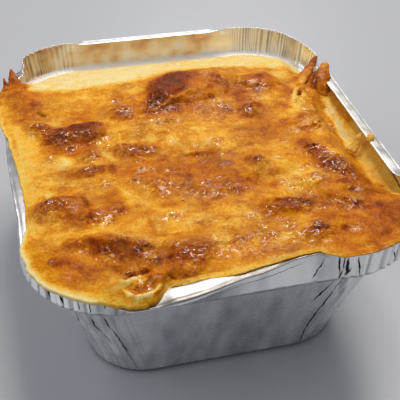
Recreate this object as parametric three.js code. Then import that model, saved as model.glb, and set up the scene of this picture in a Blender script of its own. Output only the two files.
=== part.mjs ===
// An oven-baked meal with a browned crust in its own foil tray.
// Millimetres, +Z up. The origin is the middle of the tray's flat base, +Y is the back of the tray.
// Every shell is a stack of closed rings round the tray. All rings share the same stations,
// so that pleats, ledge and crust line up from one ring to the next.
import * as THREE from 'three';

// ---------------------------------------------------------------- driving dimensions

const BASE = { x: 46, y: 54.5, corner: 21 }; // half sizes and corner radius of the base
const RIM = { x: 63.5, y: 73.5, corner: 29.3 }; // the outer line of the ledge, where the flange stands
const LEDGE_WIDTH = 5.5;
const LEDGE_Z = 51;
const SHEET = 0.6; // thickness given to the foil
const GAP = 0.3; // clearance between foil and food
const BASE_ROUNDING = 2.5; // radius between base and wall

// The flange round the ledge. Its top strip, the lip, is turned in along the sides and round the
// front left corner, and stands up, pleated, in the other corners.
const FLANGE_RISE = { frontLeft: 6.4, right: 9.5, back: 11.3, openCorner: 9.7, openCornerBack: 11.3 };
const LIP = 4.5;
const LIP_FOLD = 93; // degrees
const FOLD_FADE = 9; // length over which the fold opens towards a corner
const LEAN = { plain: 5, back: 11, leftFront: -4, leftBack: 13, bent: 42 }; // degrees outwards

// Half the depth of the crimps in the corners, where the flat sheet was gathered in.
const PLEAT_DEPTH = 0.75;
const CREASE_PLEAT_DEPTH = 0.6;
const WALL_PLEAT_DEPTH = 0.35;
const LEDGE_PLEAT_DEPTH = 0.12;

const CORNER_STEPS = 20;
const SIDE_STEPS = 14;
const END_STEPS = 12;
const WALL_ROWS = 4;
const CRUST_RINGS = 19;

// Heights of the crust above the ledge, how far its edge rounds down, and its even fine waves.
const CRUST = { plateau: 7.2, crown: 1.0, backEdge: 1.2, rightEdge: 1.6, shoulder: 1.5, waves: 0.3 };
const CRUST_MARGIN = 1.4; // how far the sunk back and right edges stay inside the wall
const CRUST_LIP = 0.7; // thickness of the crust where it ends on the lip

const DEG = Math.PI / 180;
const WALL_TOP = {
  x: RIM.x - LEDGE_WIDTH,
  y: RIM.y - LEDGE_WIDTH,
  corner: RIM.corner - LEDGE_WIDTH,
};

const mix = (a, b, t) => a + (b - a) * t;
const smooth = (low, high, value) => {
  const t = Math.min(1, Math.max(0, (value - low) / (high - low)));
  return t * t * (3 - 2 * t);
};

// ---------------------------------------------------------------- stations round the tray

// A station is a place on the outline: which corner or side it is on and which way it faces.
// The corners follow one another from the back right, and each is followed by its straight side.
function makeStations() {
  const stations = [];
  const corners = [[1, 1], [-1, 1], [-1, -1], [1, -1]];
  corners.forEach(([signX, signY], quarter) => {
    for (let step = 0; step < CORNER_STEPS; step += 1) {
      const angle = (quarter + step / CORNER_STEPS) * 90 * DEG;
      const turn = step / CORNER_STEPS;
      stations.push({ quarter, signX, signY, angle, along: 0, turn, zig: step % 2 ? -1 : 1 });
    }
    const steps = quarter % 2 ? SIDE_STEPS : END_STEPS;
    for (let step = 0; step < steps; step += 1) {
      const angle = (quarter + 1) * 90 * DEG;
      stations.push({ quarter, signX, signY, angle, along: step / steps, turn: 0, zig: 0, straight: true });
    }
  });
  return stations;
}

// The point of a station on a rounded rectangle with half sizes x and y.
function outlinePoint(station, { x, y, corner }) {
  const { signX, signY, angle, along } = station;
  const pointX = signX * (x - corner) + corner * Math.cos(angle);
  const pointY = signY * (y - corner) + corner * Math.sin(angle);
  const acrossX = -Math.round(Math.sin(angle)) * 2 * (x - corner) * along;
  const acrossY = Math.round(Math.cos(angle)) * 2 * (y - corner) * along;
  return along > 0 ? [pointX + acrossX, pointY + acrossY] : [pointX, pointY];
}

const grow = ({ x, y, corner }, by) => ({ x: x + by, y: y + by, corner: corner + by });
const between = (a, b, t) => ({
  x: mix(a.x, b.x, t),
  y: mix(a.y, b.y, t),
  corner: mix(a.corner, b.corner, t),
});

const STATIONS = makeStations();

// How strongly a corner is pleated at a station: nothing at its ends, full in its middle.
const pleatShare = (station) => Math.sin(Math.PI * station.turn) ** 0.4;

function ring(outline, z, pleat = 0) {
  return STATIONS.map((station) => {
    const [x, y] = outlinePoint(station, outline);
    const push = station.turn > 0 ? station.zig * pleat * pleatShare(station) : 0;
    return [x + Math.cos(station.angle) * push, y + Math.sin(station.angle) * push, z];
  });
}

// ---------------------------------------------------------------- closed body from rings

// Joins rings into one closed body, from a centre point below to a centre point at the end.
function stackRings(rings, firstCentre, lastCentre) {
  const count = STATIONS.length;
  const points = [firstCentre, ...rings.flat(), lastCentre];
  const last = points.length - 1;
  const at = (row, station) => 1 + row * count + (station % count);
  const faces = [];
  for (let station = 0; station < count; station += 1) {
    faces.push(0, at(0, station + 1), at(0, station));
    for (let row = 0; row + 1 < rings.length; row += 1) {
      const [a, b] = [at(row, station), at(row, station + 1)];
      const [c, d] = [at(row + 1, station + 1), at(row + 1, station)];
      faces.push(a, b, c, a, c, d);
    }
    faces.push(at(rings.length - 1, station), at(rings.length - 1, station + 1), last);
  }
  const geometry = new THREE.BufferGeometry();
  geometry.setAttribute('position', new THREE.Float32BufferAttribute(points.flat(), 3));
  geometry.setIndex(faces);
  geometry.computeVertexNormals();
  return geometry;
}

// ---------------------------------------------------------------- the foil tray

const BACK_RIGHT = 0;
const BACK_LEFT = 1;
const FRONT_LEFT = 2;
const FRONT_RIGHT = 3;

// 1 where the lip stands open, 0 where it is folded in.
function openness({ quarter, turn, along, straight }) {
  if (!straight) {
    if (quarter === BACK_LEFT) return 1 - smooth(0.45, 0.65, turn);
    return quarter === FRONT_LEFT ? 0 : 1;
  }
  const halves = quarter % 2 ? RIM.y - RIM.corner : RIM.x - RIM.corner;
  const fromStart = 2 * halves * along;
  const toEnd = 2 * halves - fromStart;
  const startIsOpen = quarter === BACK_RIGHT || quarter === FRONT_RIGHT;
  const endIsOpen = quarter !== BACK_LEFT;
  const atStart = startIsOpen ? 1 - smooth(0, FOLD_FADE, fromStart) : 0;
  const atEnd = endIsOpen ? 1 - smooth(0, FOLD_FADE, toEnd) : 0;
  return Math.max(atStart, atEnd);
}

// The front of the flange is bent down over its left half and stands up again to the right.
function leanAt(station) {
  const [x, y] = outlinePoint(station, RIM);
  const left = mix(LEAN.leftFront, LEAN.leftBack, smooth(-40, 5, y));
  const side = mix(mix(left, LEAN.plain, smooth(-60, -45, x)), LEAN.back, smooth(60, 72, y));
  const bend = smooth(-44, -33, x) * smooth(2, -22, x) * smooth(-66, -72, y);
  return mix(side, LEAN.bent, bend);
}

// Height of the top of the flange above the ledge.
function riseAt(station) {
  const [x, y] = outlinePoint(station, RIM);
  const sides = mix(FLANGE_RISE.frontLeft, FLANGE_RISE.right, smooth(24, 50, x));
  const folded = mix(sides, FLANGE_RISE.back, smooth(60, 72, y));
  const open = mix(FLANGE_RISE.openCorner, FLANGE_RISE.openCornerBack, smooth(45, 72, y));
  return mix(folded, open, openness(station));
}

const foldAt = (station) => LIP_FOLD * (1 - openness(station));

// Length of the standing panel below the fold line.
const panelAt = (station) => riseAt(station) - LIP * Math.max(0, Math.cos(foldAt(station) * DEG));

// The flange in section: outwards distance and height of its skins at a station.
function flangeSection(station) {
  const lean = leanAt(station) * DEG;
  const lipTurn = lean - foldAt(station) * DEG;
  const along = (angle) => [Math.sin(angle), Math.cos(angle)];
  const inward = (angle) => [-Math.cos(angle), Math.sin(angle)];
  const move = ([o, z], [byO, byZ], length) => [o + byO * length, z + byZ * length];

  const foot = [0, LEDGE_Z - SHEET];
  const crease = move(foot, along(lean), panelAt(station) + SHEET);
  const tip = move(crease, along(lipTurn), LIP);

  const slope = SHEET * Math.sin(lean);
  const innerFoot = move(move(foot, inward(lean), SHEET), along(lean), (SHEET - slope) / Math.cos(lean));
  const middle = (lean + lipTurn) / 2;
  const innerCrease = move(crease, inward(middle), SHEET / Math.cos(lean - middle));
  const innerTip = move(tip, inward(lipTurn), SHEET);
  return { crease, tip, innerTip, innerCrease, innerFoot };
}

function flangeRing(name, pleat) {
  return STATIONS.map((station) => {
    const [offset, z] = flangeSection(station)[name];
    const [x, y] = outlinePoint(station, RIM);
    const share = station.turn > 0 ? station.zig * pleatShare(station) : 0;
    const push = offset + share * pleat;
    return [x + Math.cos(station.angle) * push, y + Math.sin(station.angle) * push, z];
  });
}

const wallRing = (offset, share, z) =>
  ring(grow(between(BASE, WALL_TOP, share), offset), z, WALL_PLEAT_DEPTH * share);

// Rings up the wall from the top of the base rounding to the ledge, on one side of the foil.
function wallRings(offset, bottomZ, topZ) {
  const rows = [];
  for (let row = 0; row <= WALL_ROWS; row += 1) {
    const share = row / WALL_ROWS;
    rows.push(wallRing(offset, share, mix(bottomZ, topZ, share)));
  }
  return rows;
}

// The ledge is a flat ring with shallow radial ridges in the corners.
function ledgeRing(z) {
  return ring(RIM, z).map(([x, y], index) => {
    const station = STATIONS[index];
    const ridge = station.turn > 0 ? station.zig * pleatShare(station) * LEDGE_PLEAT_DEPTH : 0;
    return [x, y, z + ridge];
  });
}

function buildTray() {
  const rounding = BASE_ROUNDING;
  const cut = rounding * (1 - Math.SQRT1_2);
  const outside = [
    ring(grow(BASE, -rounding), 0),
    ring(grow(BASE, -cut), cut),
    ...wallRings(0, rounding, LEDGE_Z - SHEET),
    ledgeRing(LEDGE_Z - SHEET),
    flangeRing('crease', CREASE_PLEAT_DEPTH),
    flangeRing('tip', PLEAT_DEPTH),
  ];
  const inside = [
    flangeRing('innerTip', PLEAT_DEPTH),
    flangeRing('innerCrease', CREASE_PLEAT_DEPTH),
    flangeRing('innerFoot', 0),
    ...wallRings(-SHEET, rounding + SHEET / 2, LEDGE_Z).reverse(),
    ring(grow(BASE, -rounding - SHEET), SHEET),
  ];
  return stackRings([...outside, ...inside], [0, 0, 0], [0, 0, SHEET]);
}

// ---------------------------------------------------------------- the baked meal

// Swellings of the crust: middle, half sizes along and across, turn in degrees, and height.
const SWELLINGS = [
  { x: 1, y: 37, along: 13, across: 8, turn: 14, height: 4.2 },
  { x: -10, y: 33, along: 7, across: 6, turn: 60, height: 1.8 },
  { x: 18, y: 38, along: 12, across: 9, turn: 0, height: 1.5 },
  { x: 34, y: 33, along: 10, across: 7, turn: -8, height: 2.4 },
  { x: 31, y: 18, along: 11, across: 8, turn: 25, height: 1.4 },
  { x: -46, y: 10, along: 10, across: 6, turn: -28, height: 2.6 },
  { x: -34, y: 14, along: 10, across: 6, turn: 24, height: 3.0 },
  { x: -22, y: 25, along: 7, across: 5, turn: 10, height: 1.8 },
  { x: -17, y: 5, along: 15, across: 4, turn: -6, height: 1.9 },
  { x: 5, y: -2, along: 20, across: 7, turn: -4, height: 1.3 },
  { x: -49, y: -26, along: 9, across: 6, turn: 0, height: 2.4 },
  { x: -38, y: -36, along: 9, across: 5, turn: 12, height: 1.7 },
  { x: -26, y: -50, along: 17, across: 6, turn: 4, height: 2.2 },
  { x: -9, y: -55, along: 11, across: 6, turn: 10, height: 2.0 },
  { x: -52, y: -50, along: 9, across: 9, turn: 0, height: 1.0 },
  { x: 42, y: 2, along: 10, across: 6, turn: -30, height: 1.8 },
  { x: 46, y: -18, along: 10, across: 9, turn: -40, height: 2.0 },
  { x: 23, y: -24, along: 11, across: 6, turn: 8, height: 1.8 },
  { x: 39, y: -35, along: 10, across: 7, turn: 0, height: 1.6 },
  { x: 26, y: -56, along: 15, across: 6, turn: 18, height: 1.4 },
  { x: -56, y: 44, along: 8, across: 12, turn: 12, height: 1.8 },
  { x: 50, y: -60, along: 14, across: 9, turn: 35, height: 1.9 },
];

// Narrow pieces of crust that stand up in the back corners, and a lump beside one of them.
const PEAKS = [
  { x: 61.5, y: 48.5, reach: 3.4, height: 8.0 },
  { x: 56.5, y: 39, reach: 3.2, height: 5.5 },
  { x: -59, y: 60, reach: 3.6, height: 3.2 },
];

// A split in the crust near the front edge: its ends, half width and depth.
const SPLITS = [
  { from: [-32, -63], to: [-20, -58], width: 2.6, depth: 2.6 },
  { from: [-17, -60], to: [-5, -58], width: 2.2, depth: 1.6 },
];

function swell(feature, x, y) {
  const angle = feature.turn * DEG;
  const alongX = (x - feature.x) * Math.cos(angle) + (y - feature.y) * Math.sin(angle);
  const acrossX = (y - feature.y) * Math.cos(angle) - (x - feature.x) * Math.sin(angle);
  const reach = (alongX / feature.along) ** 2 + (acrossX / feature.across) ** 2;
  return feature.height * Math.exp(-(reach ** 1.3));
}

function splitDepth({ from, to, width, depth }, x, y) {
  const length = Math.hypot(to[0] - from[0], to[1] - from[1]);
  const [dirX, dirY] = [(to[0] - from[0]) / length, (to[1] - from[1]) / length];
  const along = (x - from[0]) * dirX + (y - from[1]) * dirY;
  const beside = Math.hypot(x - from[0] - dirX * along, y - from[1] - dirY * along);
  const past = Math.max(0, -along, along - length);
  return depth * Math.exp(-((beside / width) ** 2) - (past / width) ** 2);
}

// Height of the crust. It sinks towards the back edge and falls off beside the right-hand wall.
function crustHeight(x, y) {
  const back = smooth(46, 66, y);
  const right = smooth(48, 57, x) * smooth(-52, -36, y);
  const crown = CRUST.crown * (1 - (x / RIM.x) ** 2) * (1 - (y / RIM.y) ** 2);
  const plateau = CRUST.plateau + crown;
  let height = mix(mix(plateau, CRUST.rightEdge, right), CRUST.backEdge, back * smooth(-61, -54, x));
  const calm = 1 - 0.8 * Math.max(back, right);
  for (const feature of SWELLINGS) height += swell(feature, x, y) * calm;
  for (const split of SPLITS) height -= splitDepth(split, x, y);
  const bend = 1.4 * Math.sin(0.19 * y);
  height += CRUST.waves * Math.sin(0.5 * x + bend) * Math.sin(0.43 * y + 0.8) * calm;
  for (const peak of PEAKS) {
    const away = Math.hypot(x - peak.x, y - peak.y) / peak.reach;
    height += peak.height * Math.exp(-(away ** 2));
  }
  return LEDGE_Z + height;
}

// 1 where the back and right-hand margins of the crust stay inside the wall, off the ledge.
// A tongue of crust crosses the ledge near the back right corner.
function marginAt(x, y) {
  const back = smooth(24, 50, y) * smooth(-56, -50, x);
  const right = smooth(51, 56, x) * smooth(-54, -40, y);
  const tongue = smooth(39, 50, y) * smooth(58, 53, y) * smooth(47, 53, x);
  return Math.max(back, right) * (1 - tongue);
}

// Room between the top of the wall and the flange, the lip or the pleats, whichever is nearest.
function roomAt(station) {
  const { tip, innerTip, innerCrease, innerFoot } = flangeSection(station);
  const nearest = Math.min(tip[0], innerTip[0], innerCrease[0], innerFoot[0]);
  const pleats = station.turn > 0 ? PLEAT_DEPTH : 0;
  return LEDGE_WIDTH + nearest - pleats - GAP;
}

// How far the crust spreads past the top of the wall below the lip, into the open corners.
function neckSpread(station) {
  const index = STATIONS.indexOf(station);
  const count = STATIONS.length;
  const nearby = [-1, 0, 1].map((step) => roomAt(STATIONS[(index + step + count) % count]));
  const [x, y] = outlinePoint(station, WALL_TOP);
  return mix(Math.min(...nearby) - 0.1, -CRUST_MARGIN, marginAt(x, y));
}

// Share of the folded lip that the crust covers: all of it round the front left corner and
// at the back of the left side, a little of it between these.
function lipCover(station) {
  const [x, y] = outlinePoint(station, RIM);
  const front = smooth(-14, -25, x) * smooth(-62, -66, y);
  const corner = smooth(-36, -46, y) * smooth(-20, -34, x);
  const left = mix(0.25, 1, smooth(-14, 8, y)) * smooth(-50, -58, x);
  return Math.max(front, corner, left) * (1 - openness(station));
}

// The three lines where the crust rises beside the lip, passes over it and ends.
function edgeSection(station) {
  const { crease, tip } = flangeSection(station);
  const neck = neckSpread(station);
  const overZ = Math.max(crease[1], tip[1]) + GAP + 0.1;
  const cover = lipCover(station);
  const reach = mix(neck, LEDGE_WIDTH + crease[0] - 0.4, cover);
  const neckZ = mix(LEDGE_Z + 0.9, overZ, cover > 0 ? 1 : 0);
  return { neck, reach, neckZ, lowest: neckZ + CRUST_LIP };
}

function buildMeal() {
  const clearance = -SHEET - GAP;
  const sections = STATIONS.map(edgeSection);
  const crustRing = (reachName, height) => STATIONS.map((station, index) => {
    const section = sections[index];
    const [x, y] = outlinePoint(station, grow(WALL_TOP, section[reachName]));
    return [x, y, height(section)];
  });
  const body = [
    ring(grow(BASE, clearance - BASE_ROUNDING), SHEET + GAP),
    ...wallRings(clearance, BASE_ROUNDING + SHEET, LEDGE_Z + GAP),
    crustRing('neck', () => LEDGE_Z + GAP + 0.15),
    crustRing('neck', ({ neckZ }) => neckZ),
    crustRing('reach', ({ neckZ }) => neckZ + 0.2),
  ];
  const edge = crustRing('reach', ({ lowest }) => lowest);
  const crustRings = [];
  for (let row = 0; row < CRUST_RINGS; row += 1) {
    const share = 1 - row / CRUST_RINGS;
    const drop = row === 0 ? CRUST.shoulder : 0;
    crustRings.push(edge.map(([x, y, lowest]) => {
      const [px, py] = [x * share, y * share];
      const floor = mix(LEDGE_Z + 1.2, lowest, smooth(0.8, 0.93, share));
      return [px, py, Math.max(floor, crustHeight(px, py) - drop)];
    }));
  }
  return stackRings([...body, ...crustRings], [0, 0, SHEET + GAP], [0, 0, crustHeight(0, 0)]);
}

// ---------------------------------------------------------------- scene graph

const foil = new THREE.MeshStandardMaterial({ color: 0xd5d7db, roughness: 0.32, metalness: 1 });
const crust = new THREE.MeshStandardMaterial({ color: 0xc9792b, roughness: 0.45, metalness: 0 });

const tray = new THREE.Mesh(buildTray(), foil);
tray.name = 'foil_tray';

const meal = new THREE.Mesh(buildMeal(), crust);
meal.name = 'baked_meal';

const group = new THREE.Group();
group.add(tray, meal);

export default group;
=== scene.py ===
# %% [markdown]
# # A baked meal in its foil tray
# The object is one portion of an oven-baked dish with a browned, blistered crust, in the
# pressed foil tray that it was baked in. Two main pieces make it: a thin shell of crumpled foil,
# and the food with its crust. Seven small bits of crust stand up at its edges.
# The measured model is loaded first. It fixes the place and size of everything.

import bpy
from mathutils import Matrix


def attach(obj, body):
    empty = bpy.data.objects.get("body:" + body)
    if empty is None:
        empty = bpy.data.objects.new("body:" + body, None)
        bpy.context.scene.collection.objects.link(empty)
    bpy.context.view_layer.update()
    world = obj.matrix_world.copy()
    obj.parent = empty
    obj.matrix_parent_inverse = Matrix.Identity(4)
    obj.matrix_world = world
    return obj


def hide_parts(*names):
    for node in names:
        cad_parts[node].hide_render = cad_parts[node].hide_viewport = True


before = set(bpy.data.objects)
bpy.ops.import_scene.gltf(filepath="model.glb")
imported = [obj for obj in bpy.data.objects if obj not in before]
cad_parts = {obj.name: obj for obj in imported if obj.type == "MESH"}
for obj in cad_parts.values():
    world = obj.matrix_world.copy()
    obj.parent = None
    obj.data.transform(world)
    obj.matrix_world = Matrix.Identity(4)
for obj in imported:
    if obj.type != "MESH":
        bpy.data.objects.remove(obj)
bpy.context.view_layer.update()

# %% Modules, units and small helpers
import math

import bmesh
import bpy
import numpy as np
from mathutils import Matrix, Vector, noise

MM = 0.001


def mix(a, b, t):
    return a + (b - a) * t


def smooth(low, high, value):
    t = np.clip((value - low) / (high - low), 0.0, 1.0)
    return t * t * (3 - 2 * t)


def flat_points(x, y):
    return np.column_stack([x, y, 0 * x])


def noise_at(points, size, seed=0.0):
    """Smooth noise from -1 to 1 at each point. The size is the width of its blobs in mm, and each
    seed gives another pattern."""
    shift = Vector((seed * 7.31, seed * 3.17, seed * 5.59))
    return np.array([noise.noise(Vector(p) / size + shift) for p in points])


# %% Helpers for objects and their vertices
def clear_selection():
    if bpy.context.object and bpy.context.object.mode != "OBJECT":
        bpy.ops.object.mode_set(mode="OBJECT")
    bpy.ops.object.select_all(action="DESELECT")


def set_active(piece):
    clear_selection()
    piece.select_set(True)
    bpy.context.view_layer.objects.active = piece


def read_vectors(mesh, what="co"):
    """A row of three numbers for each vertex: its place in metres, or its normal."""
    values = np.zeros(len(mesh.vertices) * 3, np.float32)
    mesh.vertices.foreach_get(what, values)
    return values.reshape(-1, 3)


def put_places(mesh, places_mm):
    mesh.vertices.foreach_set("co", (places_mm * MM).astype(np.float32).ravel())


def add_values(mesh, name, values):
    """Gives each vertex a number that a material can read by its name."""
    attribute = mesh.attributes.new(name, "FLOAT", "POINT")
    attribute.data.foreach_set("value", np.asarray(values, np.float32))


def triangle_count(mesh):
    return sum(len(polygon.vertices) - 2 for polygon in mesh.polygons)


# %% [markdown]
# ## The lines that shape the tray
# A foil tray is pressed from a flat sheet. The sheet is gathered where it goes round a corner,
# so the corners are pleated and the sides are smooth. It could be modelled as a box with bevelled
# corners, but the pleats would then have to be cut in by hand. All its level lines are rounded
# rectangles, so one list of stations round the tray serves the foil and the food, and a pleat is
# a small push outwards or inwards at a station.
# The sizes are those of the measured model, in millimetres.

# %% Driving sizes
BASE = np.array([46.0, 54.5, 21.0])  # half width, half length and corner radius of the base
RIM = np.array([63.5, 73.5, 29.3])  # the line where the flange stands on the ledge
LEDGE_WIDTH = 5.5
WALL_TOP = RIM - LEDGE_WIDTH
LEDGE_Z = 51.0
BASE_ROUNDING = 2.5
FOIL = 0.2  # thickness of the foil
# The lip is the strip that is folded in along the top of the flange: its width at several places,
# how far the flange rises above the ledge and leans outwards, and how far the lip is folded.
LIP = {"plain": 4.5, "bent": 6.8, "back": 3.3, "front_right": 1.3}
RISE = {
    "front_left": 6.4, "front_right": 10.2, "right": 9.5, "back": 11.3,
    "open": 9.7, "open_back": 11.3,
}
LEAN = {  # in degrees, like the fold
    "plain": 5.0, "back": 11.0, "left_front": -4.0, "left_back": 13.0,
    "bent": 42.0, "inward": -12.0,
}
LIP_FOLD = {"plain": 93.0, "bent": 125.0, "back": 105.0}
FOLD_FADE = 9.0  # the lip opens over this length where a side starts
END_FADE = np.array([3.5, 9.0, 3.2, 9.0])  # and over these lengths where the four sides end
SOONER = 9.0  # the front lip ends this much before its right corner
CORNER_SIGNS = [(1, 1), (-1, 1), (-1, -1), (1, -1)]
BACK_RIGHT, BACK_LEFT, FRONT_LEFT, FRONT_RIGHT = range(4)
print("half sizes of the base and the rim in mm:", BASE[:2], RIM[:2])


# %% Stations round the tray
class Stations:
    """Places round the tray: the corner each belongs to, how far round that corner it has
    turned, and how far along the straight side that follows."""

    def __init__(self, quarter, turn, along):
        self.quarter = np.asarray(quarter)
        self.turn = np.asarray(turn, float)
        self.along = np.asarray(along, float)
        self.straight = self.turn >= 1.0
        self.angle = (self.quarter + np.minimum(self.turn, 1.0)) * math.pi / 2
        signs = np.array(CORNER_SIGNS)[self.quarter]
        self.sign_x, self.sign_y = signs[:, 0], signs[:, 1]
        self.normal = np.stack([np.cos(self.angle), np.sin(self.angle)], 1)

    def outline(self, shape, push=0.0):
        """Points on the rounded rectangle, moved outwards by push."""
        half_x, half_y, corner = shape
        centre = np.stack([self.sign_x * (half_x - corner), self.sign_y * (half_y - corner)], 1)
        side = np.where(self.quarter % 2 == 0, 2 * (half_x - corner), 2 * (half_y - corner))
        way = np.stack([-np.sin(self.angle), np.cos(self.angle)], 1)
        spread = (corner + push)[:, None] if np.ndim(push) else corner + push
        return centre + self.normal * spread + way * (side * self.along)[:, None]


# %% Distances round the rim
ARC = RIM[2] * math.pi / 2
SIDES = np.array([2 * (RIM[quarter % 2] - RIM[2]) for quarter in range(4)])
CORNER_START = np.cumsum([0.0] + [ARC + side for side in SIDES[:3]])
ROUND = float(CORNER_START[3] + ARC + SIDES[3])
print(f"once round the rim is {ROUND:.0f} mm")


def stations_from_distance(distance):
    """Stations at these distances along the rim line, from the start of the back right corner."""
    edges = np.append(CORNER_START, ROUND)
    distance = np.mod(distance, ROUND)
    quarter = np.clip(np.searchsorted(edges, distance, side="right") - 1, 0, 3)
    left = distance - edges[quarter]
    turn = np.minimum(left / ARC, 1.0)
    along = np.clip((left - ARC) / SIDES[quarter], 0.0, 1.0)
    return Stations(quarter, turn, along)


# %% Where the flange is folded, bent and leaning
def toward_back(y):
    return smooth(60, 72, y)


def toward_front(y):
    return smooth(-66, -72, y)


def toward_front_right(x, y):
    """How far along the front the fold has climbed: the lip is narrower there by as much."""
    return smooth(-14, 22, x) * toward_front(y)


def bend_share(x, y):
    """Where the front of the flange is bent down."""
    return smooth(-44, -33, x) * smooth(2, -22, x) * toward_front(y)


def openness(st):
    """1 where the lip stands open in a pleated corner, 0 where it is folded in."""
    from_start = SIDES[st.quarter] * st.along
    to_end = SIDES[st.quarter] - from_start
    start_open = (st.quarter == BACK_RIGHT) | (st.quarter == FRONT_RIGHT)
    end_open = st.quarter != BACK_LEFT
    at_start = np.where(start_open, 1 - smooth(0, FOLD_FADE, from_start), 0.0)
    sooner = np.where(st.quarter == FRONT_LEFT, SOONER, 0.0)
    still_folded = smooth(0, 1, (to_end - sooner) / END_FADE[st.quarter])
    at_end = np.where(end_open, 1 - still_folded, 0.0)
    on_side = np.maximum(at_start, at_end)
    back_left = 1 - smooth(0.45, 0.65, st.turn)
    corners = [st.quarter == BACK_LEFT, st.quarter == FRONT_LEFT]
    in_corner = np.select(corners, [back_left, 0.0], 1.0)
    return np.where(st.straight, on_side, in_corner)


def lean_at(st):
    """How far the flange leans outwards, in radians. Its front is bent down on the left and
    in on the right."""
    x, y = st.outline(RIM).T
    left = mix(LEAN["left_front"], LEAN["left_back"], smooth(-40, 5, y))
    side = mix(mix(left, LEAN["plain"], smooth(-60, -45, x)), LEAN["back"], toward_back(y))
    inward = smooth(2, 19, x) * smooth(30, 23, x) * toward_front(y)
    return np.radians(mix(mix(side, LEAN["bent"], bend_share(x, y)), LEAN["inward"], inward))


# %% Sizes of the flange and its lip
def fold_at(st):
    """How far the lip is folded over, in radians."""
    x, y = st.outline(RIM).T
    plain = mix(LIP_FOLD["plain"], LIP_FOLD["bent"], bend_share(x, y))
    return np.radians(mix(plain, LIP_FOLD["back"], toward_back(y))) * (1 - openness(st))


def lip_at(st):
    """Width of the folded strip."""
    x, y = st.outline(RIM).T
    front = mix(LIP["plain"], LIP["bent"], bend_share(x, y))
    front = mix(front, LIP["front_right"], toward_front_right(x, y))
    return mix(front, LIP["back"], toward_back(y))


def rise_at(st):
    """Height of the top of the flange above the ledge."""
    x, y = st.outline(RIM).T
    sides = mix(RISE["front_left"], RISE["right"], smooth(24, 50, x))
    sides = mix(sides, RISE["front_right"], toward_front_right(x, y))
    folded = mix(sides, RISE["back"], toward_back(y))
    standing = mix(RISE["open"], RISE["open_back"], smooth(45, 72, y))
    return mix(folded, standing, openness(st))


def panel_at(st):
    """Length of the flange from the ledge to its fold."""
    return rise_at(st) - lip_at(st) * np.maximum(0, np.cos(fold_at(st)))


# %% [markdown]
# ## Pleats, creases and dents in the foil
# Each pleat is a strip of foil with a sharp narrow valley beside it. The pleats are unequal,
# because the foil finds its own folds. A crumpled sheet could also be simulated as cloth, but
# then its folds would fall anywhere. Here they are a wave round each corner, whose phase
# wanders a little. Two corners also have long creases down the wall, where one fold lies over
# the next, and these are listed one by one.

# %% Pleats and creases
PLEATS = np.array([36, 27, 13, 15])  # in the four corners, from the back right one round
PLEAT_DEPTH = {"flange": 0.7, "crease": 0.55, "wall": 0.32, "ledge": 0.12}
COARSE_PLEATS = 15  # the number for which those depths hold: finer pleats are shallower
print("pleats in all:", PLEATS.sum())


def pleat_share(st):
    """Full strength in the middle of a corner and nothing at its ends."""
    strength = (COARSE_PLEATS / PLEATS[st.quarter]) ** 0.7
    return np.where(st.straight, 0.0, strength * np.sin(np.pi * np.clip(st.turn, 0, 1)) ** 0.4)


def pleat_wave(st):
    """From -1 in the valley of a pleat to 1 on its ridge."""
    wander = 0.023 * np.sin(2 * np.pi * (2.3 * st.turn + 0.37 * st.quarter))
    wander += 0.012 * np.sin(2 * np.pi * (5.1 * st.turn + 0.61 * st.quarter))
    number = PLEATS[st.quarter] * (st.turn + wander)
    phase = np.mod(number, 1.0)
    ridge = np.cos(2 * np.pi * phase)
    valley = np.exp(-(((phase - 0.5) / 0.11) ** 2))
    flattened = st.quarter == FRONT_LEFT
    sharp = 0.3 + 0.9 * np.abs(np.sin(7.3 * np.floor(number)))
    return np.where(flattened, 0.12 * ridge - sharp * valley, 0.75 * ridge - 0.35 * valley)


# %% Creases and dents in the wall
# A crease runs from a lower place to an upper place on the wall, each given as x and height.
CREASES = [
    {"low": (20.4, 51.0), "high": (24.0, 58.5), "depth": 0.5, "width": 0.5},
    {"low": (30.5, 44.0), "high": (29.5, 60.0), "depth": 0.9, "width": 0.5},
    {"low": (32.5, 46.0), "high": (33.5, 60.0), "depth": 0.7, "width": 0.5},
    {"low": (-10.0, 30.0), "high": (-4.0, 50.0), "depth": 0.4, "width": 2.0},
    {"low": (27.5, 2.0), "high": (36.5, 34.0), "depth": 1.1, "width": 0.45},
    {"low": (26.0, 31.0), "high": (31.0, 50.0), "depth": 0.7, "width": 0.4},
    {"low": (35.5, 33.0), "high": (33.5, 50.0), "depth": 0.6, "width": 0.5},
    {"low": (-31.0, 4.0), "high": (-38.5, 24.0), "depth": 0.45, "width": 0.35},
    {"low": (-40.5, 31.0), "high": (-42.0, 40.0), "depth": 0.6, "width": 0.4},
    {"low": (-44.0, 29.0), "high": (-46.0, 38.0), "depth": 0.6, "width": 0.4},
]


def crease_push(xy, z):
    """Creases in the front of the wall: a sharp valley with one raised side."""
    push = np.zeros(len(z))
    for crease in CREASES:
        (x0, z0), (x1, z1) = crease["low"], crease["high"]
        share = np.clip((z - z0) / (z1 - z0), 0, 1)
        beside = xy[:, 0] - mix(x0, x1, share)
        ends = smooth(z0 - 3, z0 + 2, z) * smooth(z1 + 3, z1 - 2, z)
        valley = -np.exp(-((beside / crease["width"]) ** 2))
        fold = 0.5 * np.exp(-((np.maximum(beside, 0) / 3.0) ** 2)) * (beside > 0)
        push += (valley + fold) * crease["depth"] * ends * (xy[:, 1] < 0)
    return push


def wall_dents(xy, z):
    """Soft upright waves in the smooth sides and small dents all over."""
    upright = np.stack([xy[:, 0], xy[:, 1], z * 0.12], 1)
    dents = np.stack([xy[:, 0], xy[:, 1], z], 1)
    bands = 0.30 * noise_at(upright, 7.0, 1) + 0.12 * noise_at(upright, 3.0, 7)
    return bands + 0.14 * noise_at(dents, 14.0, 2) + 0.05 * noise_at(dents, 4.0, 3)


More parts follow.
